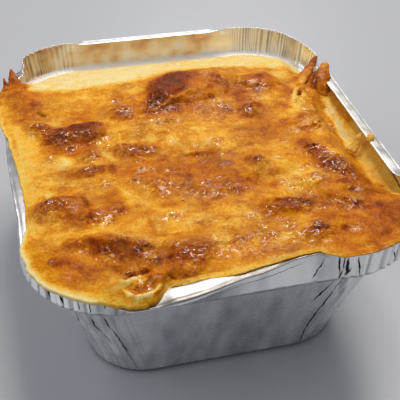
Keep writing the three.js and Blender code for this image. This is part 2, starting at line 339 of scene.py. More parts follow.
# %% Stations for the foil
STATIONS_PER_PLEAT = [7, 7, 14, 8]
SIDE_SPACING = 1.5


def tray_stations():
    """Close together in the pleated corners and wider apart on the sides."""
    quarters, turns, alongs = [], [], []
    for quarter in range(4):
        in_corner = PLEATS[quarter] * STATIONS_PER_PLEAT[quarter]
        on_side = round(SIDES[quarter] / SIDE_SPACING)
        quarters += [quarter] * (in_corner + on_side)
        turns += [step / in_corner for step in range(in_corner)] + [1.0] * on_side
        alongs += [0.0] * in_corner + [step / on_side for step in range(on_side)]
    return Stations(quarters, turns, alongs)


TRAY = tray_stations()
print("stations round the foil:", len(TRAY.quarter))


# %% [markdown]
# ## Section of the tray, line by line
# Cut through the tray and you see its section: base, wall, ledge, flange and folded lip. It
# could be drawn once and spun round, but here it changes on its way round the tray. So it is
# walked like a path at all stations together: over the base, up the wall, out along the ledge,
# up the flange, round the bead of the fold and in along the lip. Every step gives one closed
# line round the tray.

# %% Base, wall and ledge lines
WALL_ROWS = 18
PANEL_ROWS = 7
BEND_ROWS = 6
LIP_ROWS = 4
BEAD_RADIUS = 0.45
DIP_LENGTH = 0.4  # a shallow groove runs beside the bead, this wide on each side
DIP_TURN = 22  # and this steep, in degrees


def line(xy, z):
    z = np.broadcast_to(z, len(xy))
    return np.column_stack([xy, z])


def lower_lines(st):
    """Lines from the base up the wall to the ledge. The middle of the base is raised a little."""
    lines = [
        line(st.outline(BASE - 9.5), 0.8),
        line(st.outline(BASE - 8.0), 0.15),
        line(st.outline(BASE - 7.2), 0.0),
        line(st.outline(BASE - BASE_ROUNDING), 0.0),
    ]
    for step in (1, 2, 3):
        bend = step / 4 * math.pi / 2
        inset = BASE_ROUNDING * (1 - math.sin(bend))
        lines.append(line(st.outline(BASE - inset), BASE_ROUNDING * (1 - math.cos(bend))))
    wave = pleat_wave(st) * pleat_share(st)
    for row in range(WALL_ROWS + 1):
        share = row / WALL_ROWS
        z = np.full(len(wave), mix(BASE_ROUNDING, LEDGE_Z - FOIL, share))
        shape = mix(BASE, WALL_TOP, share)
        plain = st.outline(shape)
        hold = smooth(0, 0.12, share) * smooth(1.0, 0.93, share)
        dents = (wall_dents(plain, z) + crease_push(plain, z)) * hold
        push = dents + wave * PLEAT_DEPTH["wall"] * share - 0.2 * hold
        lines.append(line(st.outline(shape, push), z))
    for share in (0.12, 0.5, 0.88):
        ridge = wave * PLEAT_DEPTH["ledge"]
        lines.append(line(st.outline(mix(WALL_TOP, RIM, share)), LEDGE_Z - FOIL + ridge))
    return lines


# %% Flange, bead and lip lines
def upper_lines(st):
    """Lines up the flange, over its bead and in along the lip."""
    lean, fold, is_open = lean_at(st), fold_at(st), openness(st)
    wave = pleat_wave(st) * pleat_share(st)
    x, y = st.outline(RIM).T
    ragged = 0.35 * wave * is_open + 0.15 * noise_at(flat_points(x, y), 6.0, 4)
    out, up = np.zeros(len(x)), np.full(len(x), LEDGE_Z - FOIL)
    lines = [(out, up, PLEAT_DEPTH["crease"] * 0.5)]

    def walk(angle, length, pleat):
        nonlocal out, up
        out = out + np.sin(angle) * length
        up = up + np.cos(angle) * length
        lines.append((out, up, pleat))

    for row in range(PANEL_ROWS):
        walk(lean, (panel_at(st) - BEAD_RADIUS) / PANEL_ROWS, PLEAT_DEPTH["crease"])
    # The bead is wider where the front is bent.
    bead_length = BEAD_RADIUS * 1.6 * (1 + 2.0 * bend_share(x, y) * smooth(-27, -20, x))
    for row in range(BEND_ROWS):
        walk(lean - fold * (row + 0.5) / BEND_ROWS, bead_length / BEND_ROWS, PLEAT_DEPTH["crease"])
    flat = lean - fold
    dip = np.radians(DIP_TURN) * (1 - is_open)
    walk(flat - dip, DIP_LENGTH, PLEAT_DEPTH["crease"])
    walk(flat + dip, DIP_LENGTH, PLEAT_DEPTH["crease"])
    left = np.maximum(lip_at(st) - bead_length - 2 * DIP_LENGTH + ragged, 0.1)
    for row in range(LIP_ROWS):
        walk(flat, left / LIP_ROWS, PLEAT_DEPTH["flange"])
    walk(flat - np.radians(50), 0.25, PLEAT_DEPTH["flange"])
    shaped = []
    for out_by, height, pleat in lines:
        plain = line(st.outline(RIM, out_by), height)
        crumple = 0.10 * noise_at(plain, 4.5, 5) + 0.05 * noise_at(plain, 1.7, 6)
        crumple = crumple + crease_push(plain, height) * smooth(61, 58, height)
        place = st.outline(RIM, out_by + wave * pleat + crumple)
        shaped.append(line(place, height + 0.5 * crumple))
    return shaped


# %% [markdown]
# ## Pressing the foil
# The real tray is one sheet, drawn up by a press. A sheet could be sculpted or unwrapped, but
# the shortest way is to follow the press. The blank is a filled circle, laid on the first line
# of the base. Its border is then extruded once for every further line, and each new border
# vertex is put on its line by its station number. Solidify gives the sheet its thickness.

# %% Extrude a border from line to line
def extrude_lines(name, lines, close=False):
    """A filled circle whose border is extruded from line to line; close fills the last one."""
    clear_selection()
    bpy.ops.mesh.primitive_circle_add(vertices=len(lines[0]), radius=RIM[1] * MM, fill_type="NGON")
    piece = bpy.context.object
    piece.name = piece.data.name = name
    number = piece.data.attributes.new("station", "INT", "POINT")
    number.data.foreach_set("value", np.arange(len(lines[0]), dtype=np.int32))
    put_places(piece.data, lines[0])
    bpy.context.tool_settings.mesh_select_mode = (False, True, False)
    bpy.ops.object.mode_set(mode="EDIT")
    bpy.ops.mesh.select_all(action="SELECT")
    for places in lines[1:]:
        bpy.ops.mesh.extrude_edges_indiv()
        shell = bmesh.from_edit_mesh(piece.data)
        station = shell.verts.layers.int["station"]
        for vertex in shell.verts:
            if vertex.select:
                vertex.co = Vector(places[vertex[station]]) * MM
    bmesh.update_edit_mesh(piece.data)
    if close:
        bpy.ops.mesh.edge_face_add()
    bpy.ops.mesh.select_all(action="SELECT")
    bpy.ops.mesh.normals_make_consistent(inside=False)
    bpy.ops.object.mode_set(mode="OBJECT")
    return piece


def thicken(piece, thickness):
    modifier = piece.modifiers.new("thickness", "SOLIDIFY")
    modifier.thickness = thickness * MM
    modifier.offset = -1.0
    set_active(piece)
    bpy.ops.object.modifier_apply(modifier=modifier.name)


# %% Press the tray
tray = extrude_lines("foil_tray_shell", lower_lines(TRAY) + upper_lines(TRAY))
base_normal = tray.data.polygons[0].normal.z
print("blank faces down:", base_normal < 0, "faces:", len(tray.data.polygons))
if base_normal > 0:
    tray.data.flip_normals()
thicken(tray, FOIL)
tray.data.shade_smooth()
print("foil triangles:", triangle_count(tray.data))
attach(tray, "root")
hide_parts("foil_tray")

# %% [markdown]
# ## The baked crust: lumps, folds and tears
# The crust is molten cheese and sauce that has set over soft food. It swells into lumps over
# steam, and where it has slid or burst it leaves folds and tears. A crust like this could be
# sculpted by hand. Here each feature is one line with its place and size in millimetres, so
# that any of them can be moved or changed, and noise makes the outlines ragged.

# %% Lumps
CRUST = {"plateau": 7.2, "crown": 1.0, "back": 1.2, "right": 2.4}
# Middle, half sizes along and across, turn in degrees, height, and how crisp the outline is.
LUMPS = [
    (8, 32.5, 19, 11.5, 12, 3.6, 0.7), (-3, 31, 12, 7, 56, 1.9, 0.6), (20, 38, 11, 6, 0, 0.9, 0.2),
    (35, 31, 8, 5.5, -6, 2.6, 0.8), (31, 18, 11, 8, 25, 1.4, 0.2), (-51, 13, 9, 4.5, -55, 2.2, 0.6),
    (-38, 9, 10.5, 6.5, 14, 3.2, 0.8), (-22, 19, 6.5, 5, 10, 2.0, 0.7),
    (-17, 5, 15, 4, -6, 1.6, 0.3), (5, -2, 20, 7, -4, 1.3, 0.1), (-50, -32, 9, 6, 0, 2.4, 0.7),
    (-38, -38, 9, 5, 12, 1.7, 0.5), (-33, -52, 15, 5, -14, 2.2, 0.5),
    (-9, -55, 11, 6, 10, 1.6, 0.3), (-52, -55, 9, 9, 0, 1.0, 0.2), (42, 2, 10, 6, -30, 1.8, 0.3),
    (44, -24, 12, 6, -70, 2.2, 0.6), (23, -24, 11, 6, 8, 1.8, 0.3), (39, -37, 10, 7, 0, 1.4, 0.3),
    (27, -58, 9, 5, 18, 1.8, 0.6), (-57, 42, 7, 13, 10, 1.6, 0.2), (50, -60, 14, 9, 35, 1.9, 0.2),
    (-33, -72, 13, 6, -8, 1.5, 0.2), (-13, -62, 7, 4, 0, 1.4, 0.7),
    (-21, -7, 9, 3.5, -20, 1.5, 0.8), (-37, -5, 4, 4, 0, 1.2, 0.7), (25, 10.5, 5, 3, 35, 1.3, 0.7),
    (-38, -14, 8, 2.2, 4, 1.1, 0.8), (18, -22, 3.5, 4, 0, 1.2, 0.8), (22, -46, 8, 4, -10, 1.5, 0.8),
    (-12, 10, 6, 4, 0, 1.2, 0.6), (-28, -60, 5, 5, 0, 1.3, 0.7), (33, -35, 7, 3, 5, 0.9, 0.6),
    (17, -49, 6, 2.5, 10, 0.8, 0.7), (-53.5, -56, 2.2, 2.2, 0, 0.6, 0.8),
    (57.5, 26, 12, 5.5, 62, 3.4, 0.4), (-35, -45, 10, 3, 8, 0.8, 0.5),
    (-15, -27, 7, 5, 0, 0.8, 0.5),
]

# %% Folds, ridges and tears
# A fold is a step in the skin: its start and end, how far the raised left side reaches, height.
FOLDS = [
    ((-34.5, -67.3), (-30.3, -65.7), 5, 1.2), ((-30.5, -65.8), (-26.5, -66), 5, 1.1),
    ((-23.3, -67.6), (-19.3, -69.1), 4, 1.0), ((-19.6, -69.1), (-10.5, -68.7), 4, 0.9),
    ((13, -46.5), (20, -42.8), 3, 0.9), ((20, -42.8), (28, -47.5), 3, 0.7),
    ((-7, -12), (6, -13.3), 3, 0.9), ((-29, -2), (-20, -4), 3, 0.8), ((-20, -4), (-9, -9), 3, 0.7),
    ((-47, -12.5), (-30, -13), 3, 0.8), ((-46, -50), (-28, -56), 4, 1.0),
    ((-24, 22.5), (-15.5, 23), 3, 0.7), ((34, -43), (46, -50.5), 3, 0.8),
    ((37, -16), (45, -22), 3, 0.7), ((45, -22), (47, -34), 3, 0.7), ((-13, 17), (-11, 25), 4, 0.9),
    ((14, 11), (16, 5), 3, 0.5), ((-54, -29), (-45, -31), 3, 0.7), ((10, -56.5), (20, -60), 3, 0.5),
    ((-44, -39), (-33, -42), 3, 0.6), ((22, 9), (29, 14), 3, 0.6), ((52, 26), (58, 20), 3, 0.7),
]
# Narrow ridges: start, end, half width and height at each end.
RIDGES = [
    ((-40.5, -70.1), (-36, -69.9), 0.9, 0.3, 0.7), ((-36, -69.9), (-30, -67.6), 0.9, 0.7, 0.4),
    ((-35.2, -72.6), (-33.3, -74.6), 0.7, 0.5, 0.9),
    ((-33.3, -74.6), (-30.4, -75.3), 0.7, 0.9, 0.9),
    ((-30.4, -75.3), (-25.4, -72.7), 0.75, 0.9, 0.8),
    ((-27.0, -75.0), (-21.6, -72.4), 0.9, 0.9, 0.8),
    ((-38.5, -75.0), (-33.5, -76.6), 1.0, 0.5, 0.5), ((-27, -68.6), (-24.2, -69.4), 2.0, 1.2, 1.0),
    ((37, -44.5), (43.5, -50), 0.6, 0.6, 0.6), ((-54, -30), (-47, -31.5), 0.6, 0.5, 0.5),
    ((-54, -32.8), (-48, -33.4), 0.6, 0.5, 0.4), ((-11, 18), (8, 26.5), 1.0, 0.9, 0.5),
    ((47.5, 24), (41, 8), 1.4, 0.5, 0.4), ((57.5, 16), (60.5, -4), 1.5, 0.8, 0.6),
    ((60, -6), (62.5, -12), 1.6, 1.6, 0.6), ((21, -20), (12, -33), 1.6, 0.6, 0.4),
]
# Tears: start, end, half width and depth.
TEARS = [
    ((-33.6, -72.2), (-27.6, -72.4), 1.6, 1.4), ((-31.5, -66.9), (-28, -66.6), 0.5, 0.5),
    ((47.2, 18.4), (48.6, 21.6), 0.7, 2.2), ((-41.5, -28), (-41, -33), 0.6, 0.8),
    ((-51.5, 27.5), (-50, 25), 0.8, 1.0), ((52.5, 10), (57, -6), 1.3, 1.0),
]
PEAK_CUT = LEDGE_Z + 12.2  # nothing rises past the top of the flange
print(len(LUMPS), "lumps,", len(FOLDS), "folds,", len(RIDGES), "ridges,", len(TEARS), "tears")


# %% Distances to the features
def along_segment(x, y, start, end):
    """Share along a segment, distance from it, and how far to the left of its line."""
    way = np.array(end, float) - np.array(start, float)
    length = np.hypot(*way)
    way = way / length
    along = (x - start[0]) * way[0] + (y - start[1]) * way[1]
    left = (y - start[1]) * way[0] - (x - start[0]) * way[1]
    inside = np.clip(along, 0, length)
    return along / length, np.hypot(along - inside, left), left


def oval_distance(x, y, feature):
    """Squared distance from the middle of an oval feature: 1 on its outline."""
    mid_x, mid_y, half_along, half_across, turn = feature[:5]
    angle = math.radians(turn)
    along = (x - mid_x) * math.cos(angle) + (y - mid_y) * math.sin(angle)
    across = (y - mid_y) * math.cos(angle) - (x - mid_x) * math.sin(angle)
    return (along / half_along) ** 2 + (across / half_across) ** 2


def bump_of(x, y, feature, power=1.3):
    """1 in the middle of an oval feature, fading outside its half sizes."""
    return np.exp(-(oval_distance(x, y, feature) ** power))


def stray(x, y, seed, sizes, moves):
    """Places moved about by noise of several sizes, so that outlines come out ragged."""
    points = flat_points(x, y)
    for number, (size, move) in enumerate(zip(sizes, moves)):
        x = x + move * noise_at(points, size, seed + 2 * number)
        y = y + move * noise_at(points, size, seed + 2 * number + 1)
    return x, y


def loosely(x, y):
    """Places for lumps and spots, whose outlines are loose."""
    return stray(x, y, 51, (6.0, 2.2, 1.0), (1.3, 0.8, 0.4))


def closely(x, y):
    """Places for tears and marks, whose outlines are nearly clean."""
    return stray(x, y, 71, (2.2, 0.9), (0.3, 0.2))


# %% Height of the crust
def climb_share(x, y):
    """Where the crust climbs the flange, near the back of the right side."""
    return smooth(46, 56, x) * smooth(8, 31, y) * smooth(43, 36, y)


def film_share(x, y):
    """Where baked fat fills the angle between the ledge and the right of the flange."""
    return smooth(46, 56, x) * smooth(-62, -12, y) * smooth(44, 37, y)


def sunk_shares(x, y):
    """Where the crust has sunk below the flange: at the back and on the right."""
    back_left = smooth(50.5, 54.5, y) * smooth(-50, -56, x)
    back = np.maximum(smooth(46, 66, y) * smooth(-60, -54, x), back_left)
    right = smooth(48, 57, x) * smooth(-52, -36, y) * (1 - 0.85 * climb_share(x, y))
    return back, right


def crust_form(x, y):
    """Height of the crust without its fine relief, in mm."""
    back, right = sunk_shares(x, y)
    crown = CRUST["crown"] * (1 - (x / RIM[0]) ** 2) * (1 - (y / RIM[1]) ** 2)
    height = mix(CRUST["plateau"] + crown, CRUST["right"], right)
    height = mix(height, CRUST["back"], back)
    calm = 1 - 0.8 * np.maximum(back, right)
    loose_x, loose_y = loosely(x, y)
    for lump in LUMPS:
        away = oval_distance(loose_x, loose_y, lump)
        steep = np.sqrt(np.clip(1 - away, 0, 1))
        height = height + lump[5] * mix(np.exp(-(away**1.3)), steep, 0.55 * lump[6]) * calm
    x, y = closely(x, y)
    for start, end, reach, rise in FOLDS:
        share, _, left = along_segment(x, y, start, end)
        ends = np.sqrt(np.clip(1 - (2 * share - 1) ** 2, 0, 1))
        raised = smooth(-0.5, 0.3, left) * np.exp(-((np.maximum(left, 0) / reach) ** 2))
        height = height + rise * ends * raised
    for start, end, width, low, high in RIDGES:
        share, away, _ = along_segment(x, y, start, end)
        height = height + mix(low, high, np.clip(share, 0, 1)) * np.exp(-((away / width) ** 2))
    for start, end, width, depth in TEARS:
        away = along_segment(x, y, start, end)[1]
        height = height - depth * np.exp(-(np.abs(away / width) ** 3))
    return LEDGE_Z + height


# %% [markdown]
# ## Where the crust ends
# Round most of the front left the crust has run over the folded lip and sticks to it. At the
# back and right it has shrunk away and sunk, and its pale soft edge lies against the wall. The
# edge could be trimmed with a boolean, which would leave a hard cut. Here a table of border
# values is worked out once round the tray, and every point of the crust reads it at its place.

# %% Border of the crust
BORDER_STEPS = 1500
CRUST_EDGE = {"thin": 0.35, "thick": 0.9}  # thickness of the crust where it ends
# Places on the edge of the crust where it lies on the flange, from the back left round to the
# front right.
EDGE_PLACES = [
    (-60.5, 54), (-63, 52), (-65.6, 48), (-66.4, 40), (-66.4, 23), (-64, 12.5), (-62, -4.5),
    (-60.7, -17), (-60.2, -25.5), (-60.6, -36), (-62.6, -43), (-62.8, -48), (-62.2, -52.5),
    (-61.3, -56.5), (-60, -60), (-57, -65), (-53, -68.7), (-49, -71.3), (-45, -73.6),
    (-40.5, -75.6), (-36, -76.9), (-32, -77.2), (-28.5, -76.6), (-26.4, -75.0), (-24, -73.0),
    (-20.6, -71.3), (-16, -70.8), (-11, -71.2), (-4, -72.2), (2.7, -72.0), (9, -71.4),
    (15.2, -70.9), (23, -70.6), (34, -70.6),
]


def outside(x, y, shape):
    """Distance of a place outside a rounded rectangle; negative inside it."""
    half_x, half_y, corner = shape
    over_x, over_y = np.abs(x) - (half_x - corner), np.abs(y) - (half_y - corner)
    past_corner = np.hypot(np.maximum(over_x, 0), np.maximum(over_y, 0))
    return past_corner + np.minimum(np.maximum(over_x, over_y), 0) - corner


def drawn_reach(x, y):
    """How far the drawn edge lies outside the top of the wall, by direction from the middle."""
    drawn = np.array(EDGE_PLACES)
    toward = np.degrees(np.arctan2(drawn[:, 1], drawn[:, 0])) % 360
    return np.interp(np.degrees(np.arctan2(y, x)) % 360, toward, outside(*drawn.T, WALL_TOP))


def border_table():
    """Values round the tray: how far out the crust reaches and how high its edge lies, how far it
    covers the lip, and the place of the fold and of the tip of the lip."""
    distance = np.arange(BORDER_STEPS) * ROUND / BORDER_STEPS
    st = stations_from_distance(distance)
    x, y = st.outline(RIM).T
    lean, fold, is_open = lean_at(st), fold_at(st), openness(st)
    lip, panel = lip_at(st), panel_at(st)
    crease, crease_z = LEDGE_WIDTH + np.sin(lean) * panel, LEDGE_Z + np.cos(lean) * panel
    tip = crease + np.sin(lean - fold) * lip
    tip_z = crease_z + np.cos(lean - fold) * lip
    back = np.maximum(smooth(24, 50, y) * smooth(-56, -50, x), smooth(51, 55, y) * (x < 0))
    right = smooth(51, 56, x) * smooth(-54, -40, y)
    margin = np.maximum(back, right)
    room = np.minimum(LEDGE_WIDTH, np.minimum(tip, crease)) - 1.6
    neck = mix(room, mix(0.1, 2.2, smooth(50, 58, x) * smooth(34, 24, y)), margin)
    climb = film_share(x, y)
    brim = (1 - smooth(0.0, 0.5, margin)) * is_open * (y < 0)
    around = flat_points(x, y)
    ragged = 0.3 * noise_at(around, 3.6, 11) + 0.3 * noise_at(around, 1.5, 12)
    reach = np.maximum(drawn_reach(x, y), np.where(y < -60, tip + 0.5, 0))
    reach = mix(reach, neck, smooth(0.0, 0.6, margin))
    reach = mix(reach, tip + 0.1, brim)
    on_lip = np.clip((reach - tip) / np.where(crease > tip, crease - tip, 1), 0, 1)
    cover = on_lip * (1 - smooth(0.0, 0.4, margin)) * (1 - is_open)
    lip_z = np.where(brim > 0.5, tip_z, mix(tip_z, crease_z, on_lip))
    reach = mix(reach, LEDGE_WIDTH - 0.1, smooth(0.0, 0.3, climb))
    neck = mix(neck, reach - 0.5, smooth(0.0, 0.3, climb))
    edge_z = mix(lip_z, LEDGE_Z + 0.6, smooth(0.05, 0.7, margin))
    edge_z = mix(edge_z, LEDGE_Z + 7.0, climb)
    thick = mix(CRUST_EDGE["thin"], CRUST_EDGE["thick"], smooth(0.25, 0.8, cover))
    reach = reach + ragged * mix(0.5, 1.3, smooth(0.3, 0.7, cover)) * (1 - 0.7 * brim)
    return {
        "neck": neck, "reach": reach, "edge_z": edge_z, "lowest": edge_z + thick, "cover": cover,
        "tip": tip, "crease": crease, "tip_z": tip_z, "crease_z": crease_z, "margin": margin,
    }


BORDER = border_table()
print(f"the crust covers the lip on {(BORDER['cover'] > 0.5).mean():.0%} of the way round")


def border(name, distance):
    steps = np.append(np.arange(BORDER_STEPS), BORDER_STEPS) * ROUND / BORDER_STEPS
    values = np.append(BORDER[name], BORDER[name][0])
    return np.interp(np.mod(distance, ROUND), steps, values)


# %% [markdown]
# ## How brown each place is
# Browning runs from 0, pale cheese that never coloured, over golden yellow and orange, to 1,
# almost black. It could be painted on the vertices by hand, but a list can be changed line by
# line. The skin starts out golden, and each oval below pulls its place towards its own browning:
# middle, half sizes, turn, browning and how fully it covers. Noise moves the outlines about, so
# that no oval shows, and streaks the skin between them.

# %% Browning spots
GOLDEN = 0.46
TONED_FROM = 0.74  # browner than this is toned down, so that the darkest spots don't turn black
SPOTS = [
    # pale and yellow places
    (-60, -5, 5, 34, 3, 0.16, 0.9), (-55, 0, 5, 28, 3, 0.26, 0.75), (-46, -6, 4, 5, 0, 0.10, 0.9),
    (-30.5, -7, 2.2, 3.5, 30, 0.12, 0.8), (-27, -29, 4, 5, 10, 0.22, 0.8),
    (-15, -41, 4, 2, 10, 0.2, 0.9), (-28, -9, 2, 3, 0, 0.2, 0.6), (3, -4, 16, 5, -6, 0.30, 0.8),
    (-5, 4, 14, 5, -6, 0.44, 0.7), (24, -25, 7, 5, 10, 0.28, 0.8), (30, -14, 8, 5, 20, 0.28, 0.8),
    (28, -27, 5, 3, 0, 0.22, 0.8), (36, -5, 4, 12, 20, 0.30, 0.8), (44, 12, 3, 13, -35, 0.22, 0.85),
    (-41, -45, 10, 3.5, 8, 0.32, 0.85), (-16, -46, 16, 3.5, 2, 0.37, 0.75),
    (14, -58, 8, 3, -30, 0.3, 0.75), (3, -50, 10, 3.4, 10, 0.28, 0.75),
    (24, -38, 8, 3, 15, 0.3, 0.7), (-47, 30, 10, 12, 0, 0.42, 0.6), (-14, 35, 5, 6, 0, 0.22, 0.85),
    (-27, 24, 5, 3.5, 0, 0.62, 0.6), (8, -69, 22, 2.5, 3, 0.3, 0.8),
    (-5, -71, 10, 1.6, 6, 0.28, 0.8), (-25, 8, 8, 4, 0, 0.34, 0.6), (10, 5, 8, 4, 10, 0.3, 0.6),
    (-30, 32, 12, 8, 0, 0.4, 0.5), (-52, -44, 8, 3, 0, 0.34, 0.7), (-40, -20, 8, 4, 0, 0.34, 0.6),
    (35, 5, 4, 3, 0, 0.34, 0.7), (32, -1, 7, 4, 0, 0.64, 0.7), (2, -43, 10, 2.0, 6, 0.38, 0.7),
    (44, -8, 3, 5, 0, 0.32, 0.7), (-4, 13, 9, 3, 8, 0.34, 0.8), (-44, 22, 4, 6, 0, 0.34, 0.6),
    (10, 48, 18, 2.5, 0, 0.2, 0.8), (30, -31, 7, 2.5, 5, 0.26, 0.7),
    # mid browns
    (-4, -22, 21, 10, -4, 0.67, 0.85), (-17, -20, 9, 6, 0, 0.68, 0.6),
    (4, -31, 12, 6, 0, 0.66, 0.75), (20, -28, 5, 4, 0, 0.44, 0.7), (20, 26, 14, 9, 0, 0.62, 0.8),
    (26, 0, 11, 8, 0, 0.66, 0.85), (-58.5, 50, 5, 16, 0, 0.72, 0.9),
    (-54.5, 30, 5.5, 12, -12, 0.70, 0.85), (-35, 20, 2.4, 6, 0, 0.66, 0.7),
    (-21, 31, 4, 7, 0, 0.64, 0.75), (-34, -30, 6, 6, 0, 0.62, 0.75), (-44, -34, 6, 5, 0, 0.66, 0.8),
    (-45, -58, 15, 8, -14, 0.60, 0.85), (-20, -63, 14, 6, -5, 0.62, 0.85),
    (47, -60, 15, 11, 20, 0.72, 0.9), (52, -40, 7, 11, -20, 0.74, 0.85),
    (6, -56, 9, 4, 0, 0.62, 0.75), (13, -66, 9, 2.4, 4, 0.68, 0.75), (38, 12, 5, 4, 0, 0.66, 0.7),
    (-37, -2, 4, 3, 0, 0.66, 0.75), (52, -15, 3.4, 12, -25, 0.50, 0.75),
    (35, -46, 7, 5, 0, 0.66, 0.75), (14, 12, 9, 6, 0, 0.58, 0.65), (0, 17, 9, 5, 12, 0.68, 0.8),
    (17, 42, 9, 4, 5, 0.6, 0.85), (13, 31, 6, 6, 0, 0.66, 0.8), (-24, -50, 6, 3, 0, 0.54, 0.6),
    (33, 43, 9, 5, -10, 0.5, 0.7), (54, 18, 4, 12, -22, 0.58, 0.8), (53, 30, 4, 5, 0, 0.62, 0.8),
    # browned lumps
    (-49, 10, 8, 2.8, -52, 0.80, 0.9), (-43, 6.5, 7.5, 4.5, 10, 0.93, 0.95),
    (-37.5, 8.5, 8.5, 5.5, 22, 0.93, 0.95), (-41, 1.5, 8, 4.5, 12, 0.78, 0.9),
    (-21.5, 17.5, 5, 4, 20, 0.82, 0.9), (-1.5, 32, 15, 7, 58, 0.96, 0.95),
    (4.5, 39, 6, 4.5, 40, 0.88, 0.9), (-11, 20.5, 2.2, 4.8, -20, 0.9, 0.9),
    # The first spot on the next line is browning and painted shade below the ridge in front of the
    # dome.
    (-1, 19.5, 6.5, 2.4, 14, 0.82, 0.85), (25.5, 22, 3, 7, -20, 0.82, 0.85),
    (35, 32.5, 6, 2.6, 2, 0.9, 0.9), (34, 26, 5, 5, 0, 0.74, 0.8), (25, 12, 5, 3, 40, 0.8, 0.85),
    (17, 14, 2.4, 3.4, 0, 0.8, 0.75), (-22.5, -6, 7.5, 3.4, -14, 0.82, 0.95),
    (-13.5, -0.5, 5, 3, 0, 0.26, 0.7), (-38, -14.5, 7, 2.2, 4, 0.74, 0.95),
    (-52, -31, 7, 5, -5, 0.82, 0.9), (-31, -58, 4.5, 4.5, 0, 0.88, 0.9),
    (-12.5, -61.5, 6, 4, 0, 0.85, 0.9), (-38, -53.5, 11, 2.6, -16, 0.84, 0.95),
    (21.5, -46, 9, 4, -8, 0.82, 0.9), (38, -15, 5, 6, 10, 0.8, 0.9), (41, -26, 4, 9, 10, 0.88, 0.9),
    (45, -34, 5, 6, 0, 0.8, 0.85), (26.5, -60, 4.5, 4, 0, 0.77, 0.9),
    (16.5, -20.5, 2.6, 3.0, 0, 0.84, 0.9), (9, -32, 7, 3, 0, 0.76, 0.75),
    (46, -51.5, 7, 2.4, 0, 0.86, 0.85), (60, 36, 4.5, 7, -35, 0.9, 0.95),
    (58, 27, 3, 4, 0, 0.86, 0.85), (-60, 58, 3.4, 6, 0, 0.8, 0.9), (-33, -37, 4, 3, 0, 0.72, 0.7),
    (-41, -39.5, 7, 3.0, -6, 0.72, 0.8),
]

